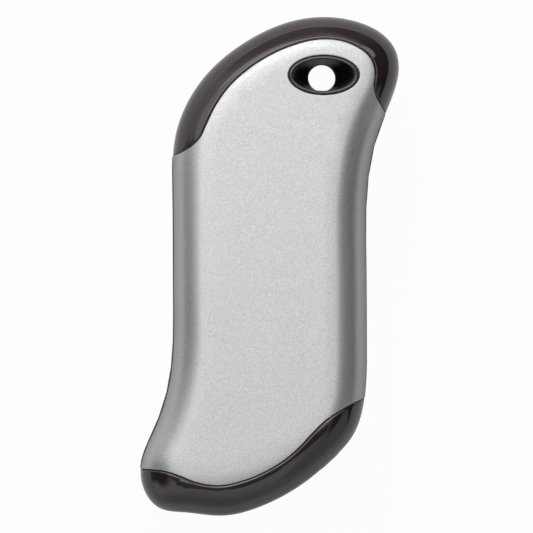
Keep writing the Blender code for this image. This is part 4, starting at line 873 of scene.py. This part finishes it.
def make_sleeve(name, node, spot, section, corner, start, depth, coats):
    """A drawn sheet sleeve with a rounded mouth, open outwards and closed at its back."""
    outer = rounded(section, corner)
    half = SHEET / 2
    rows = [(0.0, start + depth)]
    for turn in np.linspace(0.0, math.pi, ROUND_STEPS + 2):
        rows.append((half * (1 - math.cos(turn)), start + half * (1 - math.sin(turn))))
    rows.append((SHEET, start + depth - SHEET))
    rings = [[spot.point(x, y, z) for x, z in scaled(outer, inset)] for inset, y in rows]
    piece = loft(name, rings)
    dress(piece, coats["steel"], node)


def make_button(spot, coats):
    """The key: a softly domed face with a rounded edge, its flange and its stem."""
    outline = np.array(rounded(box_section(*BUTTON_SIZE), BUTTON_CORNER))
    face = scaled(outline, BUTTON_ROUND)
    rings = []
    for share in BUTTON_FACE_SHARES:
        dish = BUTTON_DISH * (1 - share * share)
        rings.append([spot.point(x, dish - BUTTON_PROUD, z) for x, z in face * share])
    rows = [(BUTTON_ROUND * (1 - math.sin(turn)),
             BUTTON_ROUND * (1 - math.cos(turn)) - BUTTON_PROUD)
            for turn in np.linspace(0.0, math.pi / 2, ROUND_STEPS + 1)]
    flange = CAP_WALL + FLANGE_CLEARANCE
    stem = flange + FLANGE_THICKNESS
    rows += [(0.0, flange), (-FLANGE_WIDTH, flange), (-FLANGE_WIDTH, stem), (STEM_INSET, stem),
             (STEM_INSET, stem + STEM_LENGTH)]
    rings += [[spot.point(x, y, z) for x, z in scaled(outline, inset)] for inset, y in rows]
    piece = loft("button_key", rings)
    dress(piece, coats["gloss_black"], "power_button", "button")


def make_lenses(spot, coats):
    """The four domed ends of the light pipe."""
    turns = circle(LENS_POINTS)
    radius = LIGHT_RADIUS + LENS_COVER
    rows = [(radius * math.sin(turn), LENS_START + LENS_DOME * (1 - math.cos(turn)))
            for turn in np.linspace(LENS_FIRST_TURN, math.pi / 2, LENS_ROWS)]
    rows.append((radius, LENS_START + LENS_DEPTH))
    for number in range(LIGHT_COUNT):
        rings = [[spot.point(light_x(number) + r * math.cos(t), y, r * math.sin(t))
                  for t in turns] for r, y in rows]
        piece = loft(f"light_lens_{number + 1}", rings)
        dress(piece, coats["clear_plastic"])


def dress(piece, coat, node=None, body="housing"):
    piece.data.materials.clear()
    piece.data.materials.append(coat)
    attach(piece, body)
    if node:
        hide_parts(node)


# Materials

# The range of a noise that counts, and a grained coat's detail, patches and roughness
NOISE_RANGE = (0.3, 0.7)
GRAIN_DETAIL = 3.0
PATCH_SIZE = 6
ROUGHNESS_SHARES = (0.85, 1.15)
# The silver paint: its shader, the noises of its flakes, patches and waves, and their effects
SILVER = ("silver_flake_paint", 0.34, 0.85,
          {"Specular Tint": (0.3, 0.3, 0.3, 1.0), "Coat Weight": 0.6, "Coat Roughness": 0.3})
SILVER_ROUGHNESS = (0.32, 0.44)
FLAKE_NOISE = (3400.0, 4.0, 0.7)
FLAKE_TONES = ((0.28, (0.367, 0.368, 0.376)), (0.5, (0.504, 0.505, 0.515)),
               (0.72, (0.641, 0.642, 0.653)))
FLAKE_DEPTH = 0.000012
PATCH_NOISE = (1500.0, 3.0)
WAVE_NOISE = 700.0
WAVE_DEPTH = 0.000006
# Slot, name, colour, roughness, metallic, the grain's scale, tone and depth, and more sockets
GRAINED_COATS = (
    ("gloss_black", "gloss_black_plastic", (0.0095, 0.0065, 0.0075), 0.06, 0.0, 260.0, 0.12,
     8e-7, {"IOR": 1.8, "Specular Tint": (1.0, 0.94, 0.975, 1.0)}),
    ("eyelet_black", "eyelet_black_plastic", (0.02, 0.018, 0.0187), 0.16, 0.0, 260.0, 0.12,
     8e-7, {"IOR": 1.9}),
    # A darker copy of the eyelet black with almost no reflection: painted shade for the eyelet's
    # funnels and bore.
    ("funnel_black", "funnel_black_plastic", (0.012, 0.0105, 0.011), 0.22, 0.0, 260.0, 0.12,
     8e-7, {"IOR": 1.9, "Specular IOR Level": 0.01}),
    ("frame_black", "moulded_black", (0.022, 0.022, 0.022), 0.42, 0.0, 2600.0, 0.2, 6e-6),
    ("film_amber", "amber_film", (0.45, 0.2, 0.03), 0.3, 0.0, 400.0, 0.12, 4e-6),
    ("pad_grey", "grey_silicone", (0.32, 0.34, 0.36), 0.8, 0.0, 1500.0, 0.1, 2e-5),
    ("cell_wrap", "cell_sleeve", (0.02, 0.22, 0.42), 0.33, 0.0, 500.0, 0.1, 4e-6),
    ("nickel", "nickel_strip", (0.6, 0.57, 0.5), 0.3, 1.0, 1800.0, 0.08, 4e-6),
    ("steel", "drawn_steel", (0.58, 0.58, 0.59), 0.26, 1.0, 2400.0, 0.08, 3e-6),
    ("board_green", "board_mask", (0.02, 0.16, 0.07), 0.42, 0.0, 900.0, 0.15, 4e-6),
    ("chip_black", "chip_resin", (0.02, 0.02, 0.021), 0.5, 0.0, 3000.0, 0.25, 8e-6),
    ("tongue_black", "socket_plastic", (0.025, 0.025, 0.027), 0.4, 0.0, 2600.0, 0.2, 4e-6),
    ("ferrite", "ferrite_body", (0.1, 0.1, 0.105), 0.7, 0.0, 2200.0, 0.25, 2e-5),
    ("clear_plastic", "clear_lens", (0.8, 0.82, 0.85), 0.12, 0.0, 900.0, 0.04, 1e-6,
     {"Transmission Weight": 0.6}),
    ("lead_red", "red_insulation", (0.5, 0.02, 0.02), 0.38, 0.0, 1500.0, 0.12, 4e-6),
    ("lead_black", "black_insulation", (0.02, 0.02, 0.02), 0.38, 0.0, 1500.0, 0.2, 4e-6),
    ("lead_white", "white_insulation", (0.78, 0.78, 0.75), 0.38, 0.0, 1500.0, 0.06, 4e-6))
# The coat of a node: the first of these words in its name says which, or else gloss_black
NODE_COATS = (
    ("core_frame", "frame_black"), ("cell_bracket", "frame_black"), ("film", "film_amber"),
    ("pad", "pad_grey"), ("cell", "cell_wrap"), ("strip", "nickel"), ("contact", "nickel"),
    ("micro_usb_shell", "steel"), ("usb_a_shell", "steel"), ("tongue", "tongue_black"),
    ("plunger", "tongue_black"), ("tact_switch", "steel"), ("screw", "steel"),
    ("main_board", "board_green"), ("chip", "chip_black"), ("thermistor_lead", "lead_black"),
    ("thermistor", "chip_black"), ("capacitor", "pad_grey"), ("inductor", "ferrite"),
    ("light_pipe", "clear_plastic"), ("led", "clear_plastic"), ("lead_plus", "lead_red"),
    ("lead_minus", "lead_black"), ("heater_lead", "lead_white"), ("shell", "silver_paint"))


def add_node(tree, kind, inputs, operation=None):
    """A node with its inputs set, or linked where an input is given a socket."""
    node = tree.nodes.new(kind)
    if operation:
        node.operation = operation
    for key, value in inputs.items():
        if isinstance(value, bpy.types.NodeSocket):
            tree.links.new(value, node.inputs[key])
        else:
            node.inputs[key].default_value = value
    return node


class Coat:
    """A node material with a principled shader and the object's own coordinates."""

    def __init__(self, name, roughness, metallic, sockets):
        self.material = bpy.data.materials.new(name)
        self.material.use_nodes = True
        self.tree = self.material.node_tree
        self.shader = self.tree.nodes["Principled BSDF"]
        sockets = {"Roughness": roughness, "Metallic": metallic, **sockets}
        for socket, value in sockets.items():
            self.shader.inputs[socket].default_value = value
        self.place = self.tree.nodes.new("ShaderNodeTexCoord").outputs["Object"]

    def noise(self, scale, detail=2.0, rough=0.5):
        inputs = {"Vector": self.place, "Scale": scale, "Detail": detail, "Roughness": rough}
        return add_node(self.tree, "ShaderNodeTexNoise", inputs).outputs["Fac"]

    def ramp(self, source, stops, socket):
        """Colours from a source: stops are (place, colour) pairs."""
        node = add_node(self.tree, "ShaderNodeValToRGB", {"Fac": source})
        while len(node.color_ramp.elements) < len(stops):
            node.color_ramp.elements.new(0.5)
        for element, (place, colour) in zip(node.color_ramp.elements, stops):
            element.position = place
            element.color = (*colour, 1.0)
        self.tree.links.new(node.outputs["Color"], self.shader.inputs[socket])

    def spread(self, source, low, high, socket):
        """A number between low and high from a noise."""
        inputs = {"Value": source, "From Min": NOISE_RANGE[0], "From Max": NOISE_RANGE[1],
                  "To Min": low, "To Max": high}
        node = add_node(self.tree, "ShaderNodeMapRange", inputs)
        self.tree.links.new(node.outputs["Result"], self.shader.inputs[socket])

    def bump(self, source, depth):
        """One more bump, over the one that is there."""
        inputs = {"Strength": 1.0, "Distance": depth, "Height": source}
        node = add_node(self.tree, "ShaderNodeBump", inputs)
        normal = self.shader.inputs["Normal"]
        if normal.is_linked:
            self.tree.links.new(normal.links[0].from_socket, node.inputs["Normal"])
        self.tree.links.new(node.outputs["Normal"], normal)
        return self


def grained(name, colour, roughness, metallic, scale, tone, depth, sockets=None):
    """A coat with a fine grain in its colour and its surface, and patches in its roughness."""
    coat = Coat(name, roughness, metallic, sockets or {})
    grain = coat.noise(scale, GRAIN_DETAIL)
    tones = [tuple(min(c * k, 1.0) for c in colour) for k in (1 - tone, 1 + tone)]
    coat.ramp(grain, tuple(zip(NOISE_RANGE, tones)), "Base Color")
    low, high = (roughness * share for share in ROUGHNESS_SHARES)
    coat.spread(coat.noise(scale / PATCH_SIZE), low, high, "Roughness")
    coat.bump(grain, depth)
    return coat.material


def make_coats():
    silver = Coat(*SILVER)
    flake = silver.noise(*FLAKE_NOISE)
    silver.ramp(flake, FLAKE_TONES, "Base Color")
    silver.spread(silver.noise(*PATCH_NOISE), *SILVER_ROUGHNESS, "Roughness")
    silver.bump(flake, FLAKE_DEPTH).bump(silver.noise(WAVE_NOISE), WAVE_DEPTH)
    coats = {"silver_paint": silver.material}
    for slot, *values in GRAINED_COATS:
        coats[slot] = grained(*values)
    return coats


def dress_nodes(coats):
    for name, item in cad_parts.items():
        key = next((coat for word, coat in NODE_COATS if word in name), "gloss_black")
        item.data.materials.clear()
        item.data.materials.append(coats[key])


# Floor, light and camera

def make_floor():
    """A pale floor: white to the camera, lighter in reflections, and it keeps the shadow."""
    size, z = FLOOR_SIZE / 2, -FLOOR_DROP
    mesh = bpy.data.meshes.new("floor")
    mesh.from_pydata([(-size, -size, z), (size, -size, z), (size, size, z), (-size, size, z)],
                     [], [(0, 1, 2, 3)])
    floor = add_item("floor", mesh)
    material = bpy.data.materials.new("pale_floor")
    material.use_nodes = True
    tree = material.node_tree
    shader = tree.nodes["Principled BSDF"]
    shader.inputs["Base Color"].default_value = FLOOR_COLOUR
    shader.inputs["Roughness"].default_value = FLOOR_ROUGHNESS
    glow = add_node(tree, "ShaderNodeEmission", {"Strength": 1.0})
    path = tree.nodes.new("ShaderNodeLightPath")
    share = 0.0
    for kind, glow_share in (("Is Camera Ray", FLOOR_GLOW), ("Is Glossy Ray", FLOOR_MIRROR_GLOW),
                             ("Is Transmission Ray", FLOOR_MIRROR_GLOW)):
        inputs = {0: path.outputs[kind], 1: glow_share, 2: share}
        share = add_node(tree, "ShaderNodeMath", inputs, "MULTIPLY_ADD").outputs[0]
    inputs = {0: share, 1: shader.outputs[0], 2: glow.outputs[0]}
    mix = add_node(tree, "ShaderNodeMixShader", inputs)
    tree.links.new(mix.outputs[0], tree.nodes["Material Output"].inputs["Surface"])
    floor.data.materials.append(material)


def heading(azimuth, tilt):
    """A direction: azimuth anticlockwise from +X, tilt down from straight up, in degrees."""
    a, t = math.radians(azimuth), math.radians(tilt)
    return math.sin(t) * math.cos(a), math.sin(t) * math.sin(a), math.cos(t)


def make_world():
    """A studio, white to the camera, with brighter and darker regions round the object."""
    world = bpy.data.worlds.new("studio")
    bpy.context.scene.world = world
    world.use_nodes = True
    tree = world.node_tree
    direction = tree.nodes.new("ShaderNodeTexCoord").outputs["Generated"]
    level = SKY_LEVEL
    for azimuth, tilt, inner, outer, value in SKY:
        inputs = {0: direction, 1: heading(azimuth, tilt)}
        dot = add_node(tree, "ShaderNodeVectorMath", inputs, "DOT_PRODUCT")
        low, high = (math.cos(math.radians(radius)) for radius in (outer, inner))
        inputs = {"Value": dot.outputs["Value"], "From Min": low, "From Max": high}
        near = add_node(tree, "ShaderNodeMapRange", inputs)
        near.interpolation_type = "SMOOTHSTEP"
        inputs = {"Factor": near.outputs["Result"], "A": level, "B": value}
        level = add_node(tree, "ShaderNodeMix", inputs).outputs["Result"]
    path = tree.nodes.new("ShaderNodeLightPath")
    inputs = {"Factor": path.outputs["Is Camera Ray"], "A": level, "B": 1.0}
    seen = add_node(tree, "ShaderNodeMix", inputs)
    background = tree.nodes["Background"]
    background.inputs["Color"].default_value = (1.0, 1.0, 1.0, 1.0)
    tree.links.new(seen.outputs["Result"], background.inputs["Strength"])


def add_key(power, size, azimuth, tilt, distance):
    lamp = bpy.data.lights.new("key", "AREA")
    lamp.energy = power
    lamp.size = size
    item = add_item("key", lamp)
    away = Vector(heading(azimuth, tilt))
    item.location = away * distance + Vector((0.0, 0.0, HALF))
    item.rotation_euler = away.to_track_quat("Z", "Y").to_euler()
    item.visible_glossy = False


def make_camera():
    data = bpy.data.cameras.new("camera")
    data.sensor_fit = "HORIZONTAL"
    data.angle = 2 * math.atan(VIEW_WIDTH / 2 / VIEW_DISTANCE)
    data.clip_start, data.clip_end = VIEW_CLIP
    camera = add_item("camera", data)
    camera.location = (*VIEW_CENTRE, HALF + VIEW_DISTANCE)
    bpy.context.scene.camera = camera


def main():
    bpy.context.scene.view_settings.view_transform = "Standard"
    skin = Skin()
    coats = make_coats()
    dress_nodes(coats)
    top = split_line(skin, TOP_SPLIT_SHARES)
    bottom = split_line(skin, BOTTOM_SPLIT_SHARES)
    make_shells(skin, top, bottom, coats)
    spots = {"usb": Spot(skin, USB_U, USB_Z, (0.0, 1.0)), "micro": Spot(skin, MICRO_U, MICRO_Z),
             "lights": Spot(skin, LIGHTS_U, LIGHTS_Z), "button": Spot(skin, BUTTON_U, BUTTON_Z)}
    make_trim("top_cover", "top_trim", skin, top, [], coats)
    make_trim("bottom_cover", "bottom_cap", skin, bottom, cap_holes(spots), coats)
    make_rails(skin, top, bottom, coats)
    make_eyelet(coats)
    make_sleeve("usb_a_sleeve", "usb_a_shell", spots["usb"], box_section(*USB_SIZE), USB_CORNER,
                USB_RECESS, USB_DEPTH, coats)
    make_sleeve("micro_usb_sleeve", "micro_usb_shell", spots["micro"], micro_section(),
                MICRO_CORNER, MICRO_RECESS, MICRO_DEPTH, coats)
    make_button(spots["button"], coats)
    make_lenses(spots["lights"], coats)
    make_floor()
    make_world()
    add_key(*KEY)
    make_camera()


main()
